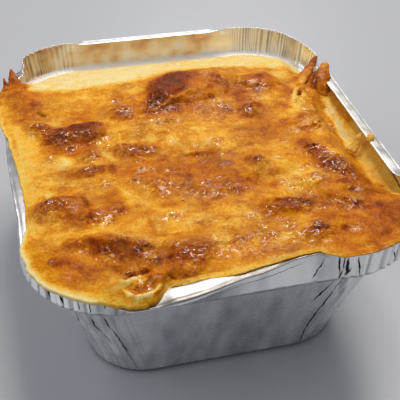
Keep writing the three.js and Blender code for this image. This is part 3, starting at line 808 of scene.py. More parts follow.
# %% Marks with clean outlines
# They are given in the same way, and are laid over the spots.
MARKS = [
    # The next two marks darken holes torn in the skin: browning, and painted shade inside the
    # holes.
    (-51, 26, 2.4, 0.9, -62, 0.86, 0.95), (47.9, 20, 2.7, 0.9, 66, 1.0, 1.0),
    (49.6, 19.4, 3.2, 0.8, 66, 0.12, 0.7), (18.3, 33, 1.3, 1.7, 0, 0.9, 0.85),
    (14, 27.5, 1.5, 1.3, 0, 0.84, 0.8), (13.5, 23, 1.5, 1.5, 0, 0.86, 0.85),
    (-30.5, -15, 1.6, 2.8, 0, 0.80, 0.9), (-34, -14, 1.4, 1.8, 0, 0.80, 0.85),
    # The first mark on the next line darkens the dropped face of a fold: browning, and painted
    # shade on that face.
    (-1, -13.3, 6, 1.0, -6, 0.70, 0.9), (-45.5, -28, 1.6, 1.4, 0, 0.86, 0.85),
    (-41.3, -30.5, 0.9, 3, 5, 0.88, 0.9), (-53.5, -56.5, 1.8, 1.6, 0, 0.8, 0.9),
    # The next two marks darken the slit of the front tear: browning, and painted shade in the slit.
    (-31.8, -66.8, 2.6, 0.55, 22, 1.0, 1.0), (-28.6, -66.3, 2.4, 0.55, 0, 1.0, 1.0),
    (21.5, -44.5, 4, 1.8, -15, 0.94, 0.9), (14, -48.5, 2.6, 1.8, 0, 0.8, 0.8),
    (43, -38.5, 3.4, 1.2, 0, 0.94, 0.85), (35, -60, 1.5, 1.4, 0, 0.92, 0.9),
    (50, -58, 1.9, 1.8, 0, 0.86, 0.85), (42, -50.5, 1.8, 1.2, 0, 0.88, 0.8),
    (57.5, -17, 1, 3, 20, 0.74, 0.8), (-23, -46, 0.8, 3.4, 5, 0.64, 0.8),
    (-41, 10, 4, 1.6, 15, 0.96, 0.8), (41, -5, 2.6, 1.3, -10, 0.76, 0.8),
    (-1.5, 32.5, 14.5, 7, 58, 0.93, 0.9), (1, 38.5, 7, 3.5, 50, 0.98, 0.7),
    (-8.5, 24, 4, 3.5, 60, 0.98, 0.7), (-37, 10.5, 6.5, 3, 18, 0.94, 0.8),
    (-2, 22.2, 9.5, 0.7, 25, 0.46, 0.8),
    # the torn place at the front: pale flap, wet hollow, pale lips and browned folds
    (-31.8, -68.2, 2.6, 1.15, 32, 0.0, 1), (-35.0, -70.2, 2.2, 1.0, 26, 0.12, 0.95),
    (-38.6, -71.4, 2.4, 1.0, 12, 0.28, 0.8), (-30.6, -72.4, 3.8, 1.9, 0, 0.64, 0.95),
    (-25.6, -69.4, 2.8, 2.4, 0, 0.76, 0.9), (-25.2, -73.4, 2.8, 1.0, 28, 0.84, 0.9),
    (-34.4, -73.5, 1.7, 0.85, -45, 0.02, 1), (-31.6, -75.0, 1.9, 0.75, -5, 0.0, 1),
    (-28.9, -74.6, 1.8, 0.75, 25, 0.0, 1), (-26.4, -73.1, 1.8, 0.7, 32, 0.02, 1),
    (-31.2, -76.3, 2.8, 0.6, 0, 0.7, 0.9), (-37.6, -75.2, 4.2, 2.0, -20, 0.3, 0.9),
    (-23.6, -74.8, 4.2, 0.8, 24, 0.5, 0.9), (-47.5, -70.6, 7, 1.5, -28, 0.14, 0.85),
    (-41.5, -73.4, 4, 1.3, -22, 0.22, 0.8), (-44, -74.1, 2.4, 0.6, -20, 0.62, 0.8),
    (-20.9, -69.2, 2.2, 0.45, -24, 0.97, 1), (-16.2, -69.4, 3.6, 0.4, 2, 0.86, 0.9),
    (-16.5, -68.2, 5, 0.8, 2, 0.66, 0.85), (-9, -70.8, 8, 1.1, 5, 0.2, 0.9),
    (-15.5, -71.6, 4.5, 1.0, 10, 0.24, 0.85),
    # the pale seam and the crust beside it at the right
    (45.6, 18.5, 1.2, 6.5, -24, 0.14, 0.9), (43.2, 10.5, 1.4, 5, -16, 0.2, 0.85),
    (51.5, 23, 2.2, 3.4, -20, 0.62, 0.8), (53.5, 12, 1.6, 6, -16, 0.44, 0.8),
    (55.8, 3, 1.2, 6, -12, 0.56, 0.8), (54.6, 27.6, 2.0, 3.0, 0, 0.78, 0.85),
    (58.8, -24, 2.6, 13, -10, 0.24, 0.85), (56.0, -10, 1.2, 7, -14, 0.16, 0.7),
    (45, 35, 4, 5, -30, 0.2, 0.7),
]
print(len(SPOTS), "spots and", len(MARKS), "marks")

# %% Browning of each place
FLECKS = {"count": 420, "smallest": 0.5, "largest": 1.9, "seed": 7}


def random_flecks():
    """Small flecks a little paler or browner than the skin round them."""
    draw = np.random.default_rng(FLECKS["seed"])
    for _ in range(FLECKS["count"]):
        x, y = draw.uniform(-60, 60), draw.uniform(-72, 45)
        size = draw.uniform(FLECKS["smallest"], FLECKS["largest"])
        oval = (x, y, size * draw.uniform(1.0, 2.4), size, draw.uniform(-30, 30))
        yield oval, draw.choice([-1.0, 1.0, 1.0])


def skin_browning(x, y, near_x, near_y):
    """Browning of the skin away from its edge, from the spots, flecks, marks and noise."""
    points = flat_points(x, y)
    streaks = noise_at(flat_points(near_x, near_y * 1.8), 5.0, 25)
    brown = GOLDEN + 0.14 * noise_at(points, 10.0, 20) + 0.18 * streaks
    for spot in SPOTS:
        brown = mix(brown, spot[5], spot[6] * bump_of(near_x, near_y, spot, 1.25))
    for oval, sign in random_flecks():
        close = (np.abs(x - oval[0]) < 5) & (np.abs(y - oval[1]) < 5)
        brown[close] += 0.10 * sign * bump_of(near_x[close], near_y[close], oval, 1.5)
    brown = np.where(brown > TONED_FROM, TONED_FROM + 0.7 * (brown - TONED_FROM), brown)
    rough = smooth(0.45, 0.75, brown)
    brown = brown + mix(0.07, 0.16, rough) * noise_at(points, 3.2, 26)
    brown = brown + mix(0.04, 0.08, rough) * noise_at(points, 1.2, 27)
    clean_x, clean_y = closely(x, y)
    for mark in MARKS:
        brown = mix(brown, mark[5], mark[6] * bump_of(clean_x, clean_y, mark, 2.0))
    return brown


def browning_at(x, y, edge_away, cover):
    """Browning of the skin, with the pale back and right and the thin rim on the flange."""
    points = flat_points(x, y)
    near_x, near_y = loosely(x, y)
    brown = skin_browning(x, y, near_x, near_y)
    dome_back = 5.5 * bump_of(x, y, (13, 46, 24, 16, 0))
    back = smooth(39.5, 44.5, near_y - dome_back) * smooth(-57, -52.5, near_x)
    right = smooth(55.5, 57.5, near_x) * smooth(-30, -6, y) * smooth(26, 14, y)
    soft = mix(mix(0.06, 0.04, smooth(-40, -28, x)), 0.10, smooth(-5, 15, x))
    soft = mix(soft, 0.04, smooth(50, 55, x) * smooth(30, 20, y))
    soft = soft + 0.09 * noise_at(points * [0.5, 1.6, 1], 3.0, 28)
    brown = mix(brown, soft, np.maximum(back * (1 - bump_of(x, y, (2, 40, 9, 9, 0))), 0.85 * right))
    fat = smooth(58.2, 59.8, near_x) * smooth(0.05, 0.4, film_share(x, y)) * (1 - smooth(24, 32, y))
    yellow = mix(0.42, 0.24, smooth(6, -8, y)) + 0.12 * noise_at(points * [1, 0.6, 1], 4.0, 24)
    brown = mix(brown, yellow, fat)
    on_rim = smooth(0.3, 0.6, cover) * smooth(40, 20, y)
    corner = on_rim * smooth(-30, -44, y) * smooth(-36, -48, x)
    middle = on_rim * smooth(-44, -36, x) * smooth(-60, -66, y)
    uneven = 0.16 * noise_at(points, 3.0, 29)
    brown = mix(brown, 0.34 + uneven, 0.8 * on_rim * (1 - middle) * smooth(4.0, 2.0, edge_away))
    brown = mix(brown, 0.14, 0.8 * corner * smooth(2.4, 1.4, edge_away))
    brown = mix(brown, mix(0.2, 0.0, corner), (on_rim - middle) * smooth(1.5, 0.8, edge_away))
    brown = mix(brown, 0.34 + uneven, 0.85 * middle * smooth(2.2, 1.0, edge_away))
    beside = (1 - on_rim) * smooth(-60, -66, y) * smooth(30, 10, x)
    brown = mix(brown, 0.26, 0.9 * beside * smooth(2.6, 1.2, edge_away))
    return np.clip(brown, 0, 1)


# %% [markdown]
# ## Fine relief of the crust
# Where fat has boiled in the browned cheese it leaves a rough field of small blisters and
# crinkles. These fields sparkle. Brown places elsewhere are knobbly, and the pale skin is smooth.
# A displacement texture could make this relief, but it would be the same all over. Here the
# height is worked out for each point, from how brown and how blistered it is.

# %% Blistered and smooth places
# Middle, half sizes, turn and how strongly the place is blistered.
BLISTERS = [
    (-53, 14, 7, 3.5, -55, 1.0), (-45, 6, 7, 4, 10, 0.8), (-22, 19, 4, 4, 0, 0.8),
    (-37, -6, 3, 3.5, 0, 1.0), (-21, -7, 8, 2.6, -14, 1.0), (-10, 10, 8, 4, 0, 1.0),
    (24, 11.5, 4.5, 3, 40, 1.0), (33, 25, 4, 5, 30, 0.9), (30, 19, 3, 3, 0, 0.8),
    (-17, -26, 5, 5, 0, 0.9), (-24, -22.5, 3, 2, 0, 0.9), (-51, -32, 7, 4, 0, 0.9),
    (-42.5, -40, 3, 2, 0, 0.9), (-37, -41, 4, 4, 0, 0.9), (-27, -58.5, 3, 5, 0, 1.0),
    (-13, -62, 6, 3, 0, 0.9), (-46, -52, 3, 3, 0, 0.8), (-38, -57, 3, 2, 0, 0.8),
    (18, -22.5, 2.5, 3, 0, 1.0), (6, -33, 3, 3, 0, 0.7), (33, -35.5, 6, 3, 0, 0.9),
    (44, -30, 4, 9, 15, 1.0), (39, -19, 4, 3, 0, 0.9), (27, -46, 4, 5, -20, 1.0),
    (16, -47, 5, 2.5, 20, 0.8), (19, -54, 4, 2, -30, 0.9), (42, -48, 4, 3.5, -30, 0.8),
    (46, -42, 3, 2, 0, 0.8), (26.5, -60, 4, 4, 0, 1.0), (47, -3, 5, 4, 0, 0.8),
    (-9, 25, 3, 6, -20, 0.7), (-30, -71, 4, 2.6, 0, 1.0), (0, -33, 10, 4, 0, 0.5),
    (4, -60, 12, 5, 0, 0.5), (12, 14, 10, 8, 0, 0.4), (-15, -43, 4, 2, 0, 0.7),
    (-28, -2, 5, 2, 0, 0.7), (-6, 18, 8, 3, 20, 0.6), (48, 8, 4, 4, 0, 0.8),
    (-20, -72, 4, 2, 0, 0.5), (-54, -53, 1.6, 1.2, 0, 0.9), (38, -61, 2, 1.4, 0, 0.9),
    (10, -14, 3, 2, 0, 0.5), (-32, 3, 5, 2, 0, 0.5),
]
WET_SPOTS = {"count": 110, "smallest": 0.8, "largest": 2.4, "seed": 19}
# Where the skin is stretched smooth over a dome: middle, half sizes and turn.
SMOOTH_PLACES = [
    (4, 34, 17, 10, 25), (-36, 11, 8, 4, 15), (-50, -56, 12, 9, 0), (47, -60, 12, 8, 20),
    (-44, 33, 14, 12, 0),
]
print(len(BLISTERS), "blistered fields and", WET_SPOTS["count"], "small ones")


def random_wet_spots():
    """Small blistered places all over the crust."""
    draw = np.random.default_rng(WET_SPOTS["seed"])
    for _ in range(WET_SPOTS["count"]):
        x, y = draw.uniform(-56, 56), draw.uniform(-70, 40)
        size = draw.uniform(WET_SPOTS["smallest"], WET_SPOTS["largest"])
        oval = (x, y, size * draw.uniform(1.0, 1.8), size, draw.uniform(-40, 40))
        yield *oval, draw.uniform(0.4, 0.9)


def blister_field(x, y):
    """1 in the middle of a blistered place and 0 on calm skin."""
    field = np.zeros(len(x))
    near_x, near_y = stray(x, y, 61, (2.5, 1.0), (1.2, 0.5))
    for spot in BLISTERS + list(random_wet_spots()):
        close = (np.abs(x - spot[0]) < 14) & (np.abs(y - spot[1]) < 14)
        strength = spot[5] * bump_of(near_x[close], near_y[close], spot, 1.6)
        field[close] = np.maximum(field[close], strength)
    return field


# %% Bubbles and crinkles
def bubbles(points, size, seed):
    """Small domes packed side by side, from 0 between them to 1 on top."""
    shift = Vector((seed * 3.3, seed * 8.1, 0))
    nearest = np.array([noise.voronoi(Vector(p) / size + shift)[0][0] for p in points])
    return np.sqrt(np.clip(1 - (nearest / 0.62) ** 2, 0, 1))


def crinkle(points, size, seed):
    """Sharp winding ridges, from 0 in the hollows to 1 on the ridge."""
    return 1 - np.clip(2.6 * np.abs(noise_at(points, size, seed)), 0, 1)


def fine_relief(x, y, brown, blister, sunk):
    """Height of the fine relief in mm, and how far each place stands out as a knob."""
    points = flat_points(x, y)
    browned = smooth(0.5, 0.8, brown)
    relief = 0.34 * noise_at(points, 7.0, 32) + 0.2 * crinkle(points * [0.7, 1.3, 1], 5.0, 31)
    fine = 0.13 * noise_at(points, 1.6, 33) * mix(0.6, 1.0, browned)
    relief += 0.16 * noise_at(points, 3.2, 30) + fine
    rough = np.flatnonzero((browned > 0.02) | (blister > 0.05))
    knobs, small, sharp = np.zeros((3, len(x)))
    knobs[rough] = bubbles(points[rough] * [0.8, 1.15, 1], 4.0, 34) - 0.6
    small[rough] = bubbles(points[rough], 1.9, 36) - 0.6
    sharp[rough] = crinkle(points[rough] * [0.7, 1.4, 1], 2.6, 35)
    relief += browned * (0.18 * knobs + 0.08 * small)
    relief += blister * (0.12 * small + 0.62 * sharp)
    taut = np.max([bump_of(x, y, place, 2.0) for place in SMOOTH_PLACES], axis=0)
    relief = relief * (1 - 0.65 * taut * (1 - blister))
    return relief * mix(1.0, 0.45, sunk), (knobs + 0.8 * small) * browned * (1 - 0.8 * taut)


# %% [markdown]
# ## Laying the crust
# The food fills the tray, and its skin is a slab with rounded corners. A disc of faces would
# crowd its points in the middle, and a remesh would blur the folds. So it starts as a square
# grid. Each square ring of the grid is laid on one closed line round the dish, and the cells
# stay nearly even from the middle to the edge. The heights come next, and then the border is
# extruded down inside the tray to close the body.

# %% Rings of the grid
GRID = 288  # cells along one side of the grid


def grid_to_dish(u, v):
    """Distance round the rim and share from the middle for each point of the square grid."""
    share = np.maximum(np.abs(u), np.abs(v))
    safe = np.where(share > 0, share, 1.0)
    half_corner = CORNER_START + ARC / 2
    on_front = (np.abs(v) >= np.abs(u)) & (v < 0)
    on_back = (np.abs(v) >= np.abs(u)) & (v >= 0)
    on_right = ~on_front & ~on_back & (u > 0)
    front = mix(half_corner[2], half_corner[3], (u / safe + 1) / 2)
    right = mix(half_corner[3], half_corner[0] + ROUND, (v / safe + 1) / 2)
    back = mix(half_corner[0], half_corner[1], (1 - u / safe) / 2)
    left = mix(half_corner[1], half_corner[2], (1 - v / safe) / 2)
    distance = np.select([on_front, on_right, on_back], [front, right, back], left)
    return np.mod(distance, ROUND), share


# %% Skin of the crust
def crust_surface(distance, share):
    """Places of the crust's skin, and the values that its finish reads."""
    st = stations_from_distance(distance)
    edge = st.outline(WALL_TOP, border("reach", distance))
    x, y = (edge * share[:, None]).T
    edge_away = np.hypot(*edge.T) * (1 - share)
    cover = border("cover", distance)
    lowest = border("lowest", distance)
    sunk = np.maximum(*sunk_shares(x, y))
    blister = blister_field(x, y)
    brown = browning_at(x, y, edge_away, cover)
    relief, knobs = fine_relief(x, y, brown, blister, sunk)
    height = np.maximum(LEDGE_Z + 1.0, crust_form(x, y) + relief)
    round_over = np.clip(edge_away / mix(5.0, 2.0, sunk), 0, 1)
    shoulder = mix(round_over**0.8, np.sqrt(1 - (1 - round_over) ** 2), sunk)
    shoulder = mix(shoulder, np.clip(edge_away / 6.0, 0, 1), film_share(x, y))
    height = mix(lowest - 0.2, height, shoulder)
    tip, crease = border("tip", distance), border("crease", distance)
    on_lip = (border("reach", distance) - edge_away - tip) / np.maximum(crease - tip, 0.5)
    lip_z = mix(border("tip_z", distance), border("crease_z", distance), np.clip(on_lip, 0, 1))
    over_lip = lip_z + 0.3 + relief * 0.3
    near_tip = smooth(-0.35, -0.1, on_lip) * (border("margin", distance) < 0.05)
    height = np.maximum(height, mix(LEDGE_Z, over_lip, near_tip))
    height = np.minimum(height, PEAK_CUT)
    brown = np.clip(brown + 0.10 * knobs, 0, 1)
    return np.column_stack([x, y, height]), brown, blister


# %% Lay the grid on the dish
clear_selection()
bpy.ops.mesh.primitive_grid_add(x_subdivisions=GRID, y_subdivisions=GRID, size=2)
meal = bpy.context.object
meal.name = meal.data.name = "baked_crust"
flat = read_vectors(meal.data)
distance, share = grid_to_dish(flat[:, 0], flat[:, 1])
places, browning, blister = crust_surface(distance, share)
put_places(meal.data, places)
add_values(meal.data, "round_the_rim", distance)
add_values(meal.data, "browning", browning)
add_values(meal.data, "blister", blister)
print("crust points:", len(flat), "browning from", browning.min(), "to", browning.max())


# %% Close the body inside the tray
INSIDE = 0.9  # gap between the food and the outside of the foil
BODY_LINES = 8  # lines of the body below the skin


def body_lines(st, distance):
    """Lines of the hidden body at these stations, from under the crust's edge to the base."""
    reach, edge_z = border("reach", distance), border("edge_z", distance)
    tucked = np.minimum(border("neck", distance), reach - 0.5)
    lines = [
        line(st.outline(WALL_TOP, reach - 0.1), edge_z - 0.3),
        line(st.outline(WALL_TOP, tucked), edge_z - 0.4),
        line(st.outline(WALL_TOP, tucked), LEDGE_Z + 0.1),
    ]
    for share_up in (1.0, 0.66, 0.33, 0.0):
        z = mix(BASE_ROUNDING + 0.6, LEDGE_Z, share_up)
        lines.append(line(st.outline(mix(BASE, WALL_TOP, share_up), -INSIDE), z))
    lines.append(line(st.outline(BASE, -INSIDE - BASE_ROUNDING), INSIDE))
    return lines


set_active(meal)
bpy.context.tool_settings.mesh_select_mode = (False, True, False)
bpy.ops.object.mode_set(mode="EDIT")
bpy.ops.mesh.select_all(action="SELECT")
bpy.ops.mesh.region_to_loop()
for number in range(BODY_LINES):
    bpy.ops.mesh.extrude_edges_indiv()
    body = bmesh.from_edit_mesh(meal.data)
    way_round = body.verts.layers.float["round_the_rim"]
    rim = [vertex for vertex in body.verts if vertex.select]
    at_rim = np.array([vertex[way_round] for vertex in rim])
    for vertex, place in zip(rim, body_lines(stations_from_distance(at_rim), at_rim)[number]):
        vertex.co = Vector(place) * MM
bpy.ops.mesh.edge_face_add()
bpy.ops.mesh.select_all(action="SELECT")
bpy.ops.mesh.normals_make_consistent(inside=False)
bpy.ops.object.mode_set(mode="OBJECT")
meal.data.shade_smooth()
print("meal triangles:", triangle_count(meal.data))
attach(meal, "root")
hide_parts("baked_meal")


# %% [markdown]
# ## Torn strips that stand up
# At the back the skin has torn and dried on the flange as ragged strips and a knob, and on the
# right a strand and a crumb stick to it. They overhang, so they can't be part of a height map.
# They could be cut from curves with a bevel. Here each is extruded ring by ring along a short
# path, flat or round as its half sizes say, and noise roughens it. Its foot is sunk in the crust.

# %% Paths of the strips and knobs
RING = 18  # points round each ring
RINGS_PER_STEP = 4  # rings from one place on a path to the next
# Per place on the path: x, y, z, half width, half thickness and browning.
STRIPS = {
    "back_left_flap": [
        (-59.5, 45, 56.8, 4.6, 1.4, 0.66), (-59.7, 49.5, 58.2, 3.4, 1.1, 0.70),
        (-60.0, 53, 59.4, 2.0, 0.9, 0.80), (-60.2, 55.8, 60.5, 1.2, 0.7, 0.74),
        (-60.4, 58.0, 61.4, 0.4, 0.3, 0.56),
    ],
    "back_left_tooth": [
        (-63.0, 47, 57.8, 1.6, 0.8, 0.66), (-63.3, 51, 59.2, 0.9, 0.6, 0.80),
        (-63.5, 53.5, 60.1, 0.3, 0.3, 0.84),
    ],
    "back_right_strip": [
        (48.0, 24.0, 56.6, 2.3, 1.2, 0.36), (50.2, 26.6, 58.4, 2.2, 1.1, 0.40),
        (53.2, 30.0, 59.8, 2.1, 1.0, 0.46), (57.0, 34.8, 60.6, 1.9, 0.9, 0.60),
        (60.6, 39.4, 61.3, 1.4, 0.6, 0.78), (62.6, 42.0, 61.8, 0.4, 0.3, 0.86),
    ],
    "back_right_knob": [
        (56.6, 20.6, 55.0, 4.0, 2.4, 0.50), (57.6, 23.0, 57.6, 3.8, 2.4, 0.60),
        (59.0, 25.8, 59.6, 3.4, 2.1, 0.72), (60.6, 28.8, 60.8, 2.8, 1.6, 0.66),
        (62.4, 32.2, 61.3, 2.2, 1.2, 0.52), (63.8, 35.0, 61.6, 1.7, 0.9, 0.46),
        (64.6, 36.4, 61.6, 0.5, 0.4, 0.42),
    ],
    "back_right_flank": [
        (53.6, 20.6, 56.0, 2.2, 1.6, 0.62), (55.4, 24.2, 58.8, 2.0, 1.5, 0.86),
        (57.6, 28.2, 60.6, 1.5, 1.1, 0.90), (59.4, 31.2, 61.6, 0.5, 0.4, 0.84),
    ],
    "right_strand": [
        (54.6, -17.5, 55.6, 2.0, 0.9, 0.22), (56.0, -16.5, 57.0, 1.7, 0.8, 0.28),
        (57.2, -15.6, 58.4, 1.4, 0.7, 0.32), (58.2, -14.8, 59.8, 1.0, 0.5, 0.34),
        (58.8, -14.4, 60.8, 0.4, 0.3, 0.34),
    ],
    "right_crumb": [
        (59.8, -19.3, 60.2, 0.9, 0.6, 0.30), (60.8, -18.2, 61.0, 1.5, 0.8, 0.36),
        (61.6, -17.0, 61.2, 1.2, 0.7, 0.30), (62.2, -16.0, 61.0, 0.4, 0.3, 0.34),
    ],
}


# %% Strips and knobs of crust
def strip_rings(path):
    """Closed rings along the path, with the browning of each."""
    path = np.array(path, float)
    steps = np.linspace(0, len(path) - 1, RINGS_PER_STEP * (len(path) - 1) + 1)
    along = np.column_stack([np.interp(steps, np.arange(len(path)), column) for column in path.T])
    way = path[-1, :3] - path[0, :3]
    wide = np.cross(way, (0, 0, 1.0))
    wide = wide / np.linalg.norm(wide)
    thick = np.cross(wide, way)
    thick = thick / np.linalg.norm(thick)
    turn = np.arange(RING) * 2 * math.pi / RING
    rings = []
    for x, y, z, half_wide, half_thick, _ in along:
        across = np.outer(np.cos(turn) * half_wide, wide)
        sides = across + np.outer(np.sin(turn) * half_thick, thick)
        ring = np.array([x, y, z]) + sides
        rough = 1 + 0.4 * noise_at(ring, 3.0, 81) + 0.25 * noise_at(ring, 1.0, 82)
        rings.append(np.array([x, y, z]) + sides * rough[:, None])
    return rings, along[:, 5]


standing = []
for strip_name, path in STRIPS.items():
    rings, baked = strip_rings(path)
    strip = extrude_lines(strip_name, rings, close=True)
    strip.data.shade_smooth()
    places = read_vectors(strip.data) / MM
    baked = np.repeat(baked, RING) + 0.2 * noise_at(places, 1.6, 83)
    add_values(strip.data, "browning", np.clip(baked, 0, 1))
    add_values(strip.data, "blister", np.full(len(places), 0.2))
    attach(strip, "root")
    standing.append(strip)
print("standing pieces:", [strip.name for strip in standing])


# %% [markdown]
# ## Foil finish
# Rolled foil is bright metal with a faint grain and tiny dents, so its reflections are soft and
# broken. A picture of foil could be wrapped round it, but a picture has a scale and a light of its
# own. Noise in the material has neither, so the finish is built from nodes, with a small class
# that shortens the adding and joining of them.

# %% Colours and nodes
def linear(red, green, blue):
    """A colour given as on a screen, from 0 to 255, as the shader needs it."""
    channels = [c / 255 for c in (red, green, blue)]
    return [c / 12.92 if c <= 0.04045 else ((c + 0.055) / 1.055) ** 2.4 for c in channels] + [1.0]


class Finish:
    """A material with short ways to add and join its nodes."""

    def __init__(self, name):
        self.material = bpy.data.materials.new(name)
        self.material.use_nodes = True
        self.tree = self.material.node_tree
        self.shader = self.tree.nodes["Principled BSDF"]
        self.place = self.add("ShaderNodeTexCoord").outputs["Object"]

    def add(self, kind, **settings):
        node = self.tree.nodes.new(kind)
        for name, value in settings.items():
            setattr(node, name, value)
        return node

    def join(self, output, target):
        self.tree.links.new(output, target)

    def put(self, name, value):
        self.shader.inputs[name].default_value = value

    def attribute(self, name):
        return self.add("ShaderNodeAttribute", attribute_name=name).outputs["Fac"]

    def noise(self, size_mm, detail=3.0, stretch=(1, 1, 1)):
        """Noise with blobs about size_mm wide, from 0 to 1."""
        mapping = self.add("ShaderNodeMapping")
        mapping.inputs["Scale"].default_value = stretch
        self.join(self.place, mapping.inputs["Vector"])
        texture = self.add("ShaderNodeTexNoise")
        texture.inputs["Scale"].default_value = 1 / (size_mm * MM)
        texture.inputs["Detail"].default_value = detail
        self.join(mapping.outputs["Vector"], texture.inputs["Vector"])
        return texture.outputs["Fac"]

    def math(self, operation, *values, clamp=False):
        """A sum of numbers and outputs. MULTIPLY_ADD takes three: value, factor and addend."""
        node = self.add("ShaderNodeMath", operation=operation, use_clamp=clamp)
        for socket, value in zip(node.inputs, values):
            if isinstance(value, (int, float)):
                socket.default_value = value
            else:
                self.join(value, socket)
        return node.outputs["Value"]

    def ramp(self, value, stops):
        """Colours along a scale, each with the place where it is reached."""
        node = self.add("ShaderNodeValToRGB")
        elements = node.color_ramp.elements
        while len(elements) < len(stops):
            elements.new(0.5)
        for element, (position, colour) in zip(elements, stops):
            element.position = position
            element.color = colour
        self.join(value, node.inputs["Fac"])
        return node.outputs["Color"]

    def bump(self, height, strength, distance_mm, normal=None):
        node = self.add("ShaderNodeBump")
        node.inputs["Strength"].default_value = strength
        node.inputs["Distance"].default_value = distance_mm * MM
        self.join(height, node.inputs["Height"])
        if normal is not None:
            self.join(normal, node.inputs["Normal"])
        return node.outputs["Normal"]


# %% Colour sockets of the Mix node
def colour_mix(finish, share, first, second):
    """Mixes two colours. The Mix node has its colour sockets after those for numbers."""
    node = finish.add("ShaderNodeMix", data_type="RGBA")
    sockets = (node.inputs[0], node.inputs[6], node.inputs[7])
    for socket, value in zip(sockets, (share, first, second)):
        if isinstance(value, bpy.types.NodeSocket):
            finish.join(value, socket)
        else:
            socket.default_value = value
    return node.outputs[2]


# %% [markdown]
# ## Sharp creases in the foil
# Where the foil is folded hard it shows a thin black line of shade, finer than the mesh. That
# shade is painted: each line is a spindle in space, thick in the middle and pointed at its ends,
# and the finish darkens where the foil passes through it. The folds could be cut into the mesh,
# but that would take far more of it.

# %% Crease marks
WANDER = {"blobs": 2.5, "reach": 0.9}  # the marks stray by this much, in mm
MARK_DEPTH = 6  # half size of a mark through the foil, in mm
MARK_STRENGTH = 2.2  # above 1 a mark is black over more of its width
# Both ends (x, y, z) and the half width, in mm.
CREASE_MARKS = [
    # right end of the front wall
    ((33.0, -63.4, 37.0), (28.6, -59.6, 20.0), 0.37),
    ((29.8, -60.6, 25.0), (27.4, -57.0, 10.0), 0.46),
    ((27.7, -57.8, 14.0), (27.6, -54.4, 1.0), 0.37),
    ((31.4, -65.6, 43.0), (26.2, -62.4, 30.0), 0.37),
    ((32.6, -64.0, 36.0), (34.8, -66.6, 46.0), 0.22),
    ((33.8, -65.8, 42.5), (31.6, -67.0, 47.0), 0.31),
    ((29.2, -66.8, 47.5), (30.4, -67.4, 50.8), 0.43),
    ((28.4, -73.6, 51.0), (29.6, -73.9, 54.2), 0.56),
    ((30.2, -73.6, 52.0), (31.6, -73.9, 56.0), 0.37),
    ((24.2, -74.2, 59.4), (20.0, -73.6, 52.2), 0.28),
    ((27.4, -74.4, 61.3), (28.6, -73.6, 53.0), 0.37),
    ((30.2, -74.4, 60.6), (30.8, -73.6, 52.0), 0.43),
    ((29.0, -74.4, 61.3), (29.8, -73.6, 54.0), 0.25),
    ((33.2, -74.4, 60.4), (34.9, -73.3, 51.4), 0.31),
    ((45.8, -70.9, 57.2), (46.6, -70.2, 54.0), 0.25),
    ((52.2, -67.6, 59.0), (52.8, -66.6, 54.0), 0.22),
    # below the fold of the front lip: a painted shadow line
    ((18.0, -73.6, 58.8), (-3.0, -75.2, 55.8), 0.13),
    ((-1.0, -75.2, 55.8), (-24.0, -77.2, 54.4), 0.15),
    # front left corner: wall, then flange
    ((-49.6, -54.6, 34.0), (-48.8, -51.8, 27.0), 0.43),
    ((-45.6, -60.6, 38.5), (-42.8, -57.8, 28.5), 0.37),
    ((-43.4, -58.6, 31.5), (-38.8, -56.8, 20.0), 0.22),
    ((-41.6, -63.2, 40.5), (-39.4, -61.0, 32.5), 0.46),
    ((-40.0, -61.8, 35.0), (-34.8, -58.0, 19.0), 0.28),
    ((-36.4, -59.2, 23.5), (-34.0, -57.2, 14.5), 0.43),
    ((-34.8, -57.6, 17.0), (-30.8, -53.8, 3.0), 0.25),
    ((-53.4, -66.2, 57.4), (-52.6, -67.0, 51.4), 0.28),
    ((-50.0, -68.6, 57.8), (-50.2, -68.4, 54.6), 0.37),
    ((-56.9, -62.9, 54.6), (-56.5, -63.4, 50.8), 0.31),
    ((-58.0, -61.4, 55.8), (-57.2, -62.3, 54.0), 0.31),
    ((-44.9, -71.2, 57.0), (-45.2, -71.0, 51.2), 0.22),
    ((-48.2, -69.6, 56.6), (-48.0, -69.8, 51.6), 0.19),
    ((-61.9, -55.0, 62.0), (-62.0, -54.8, 59.8), 0.37),
    ((-62.6, -50.0, 59.0), (-62.6, -50.0, 56.6), 0.31),
    ((-60.4, -57.0, 57.2), (-60.1, -57.2, 55.0), 0.37),
    ((-59.7, -58.5, 56.8), (-59.3, -58.6, 54.6), 0.31),
    ((-54.2, -65.3, 57.4), (-54.0, -65.4, 55.6), 0.31),
    ((-46.8, -70.2, 57.5), (-46.8, -70.2, 56.0), 0.31),
    ((-43.4, -71.6, 57.6), (-43.4, -71.6, 56.2), 0.31),
    ((-40.6, -72.6, 57.6), (-41.2, -72.4, 54.0), 0.25),
]


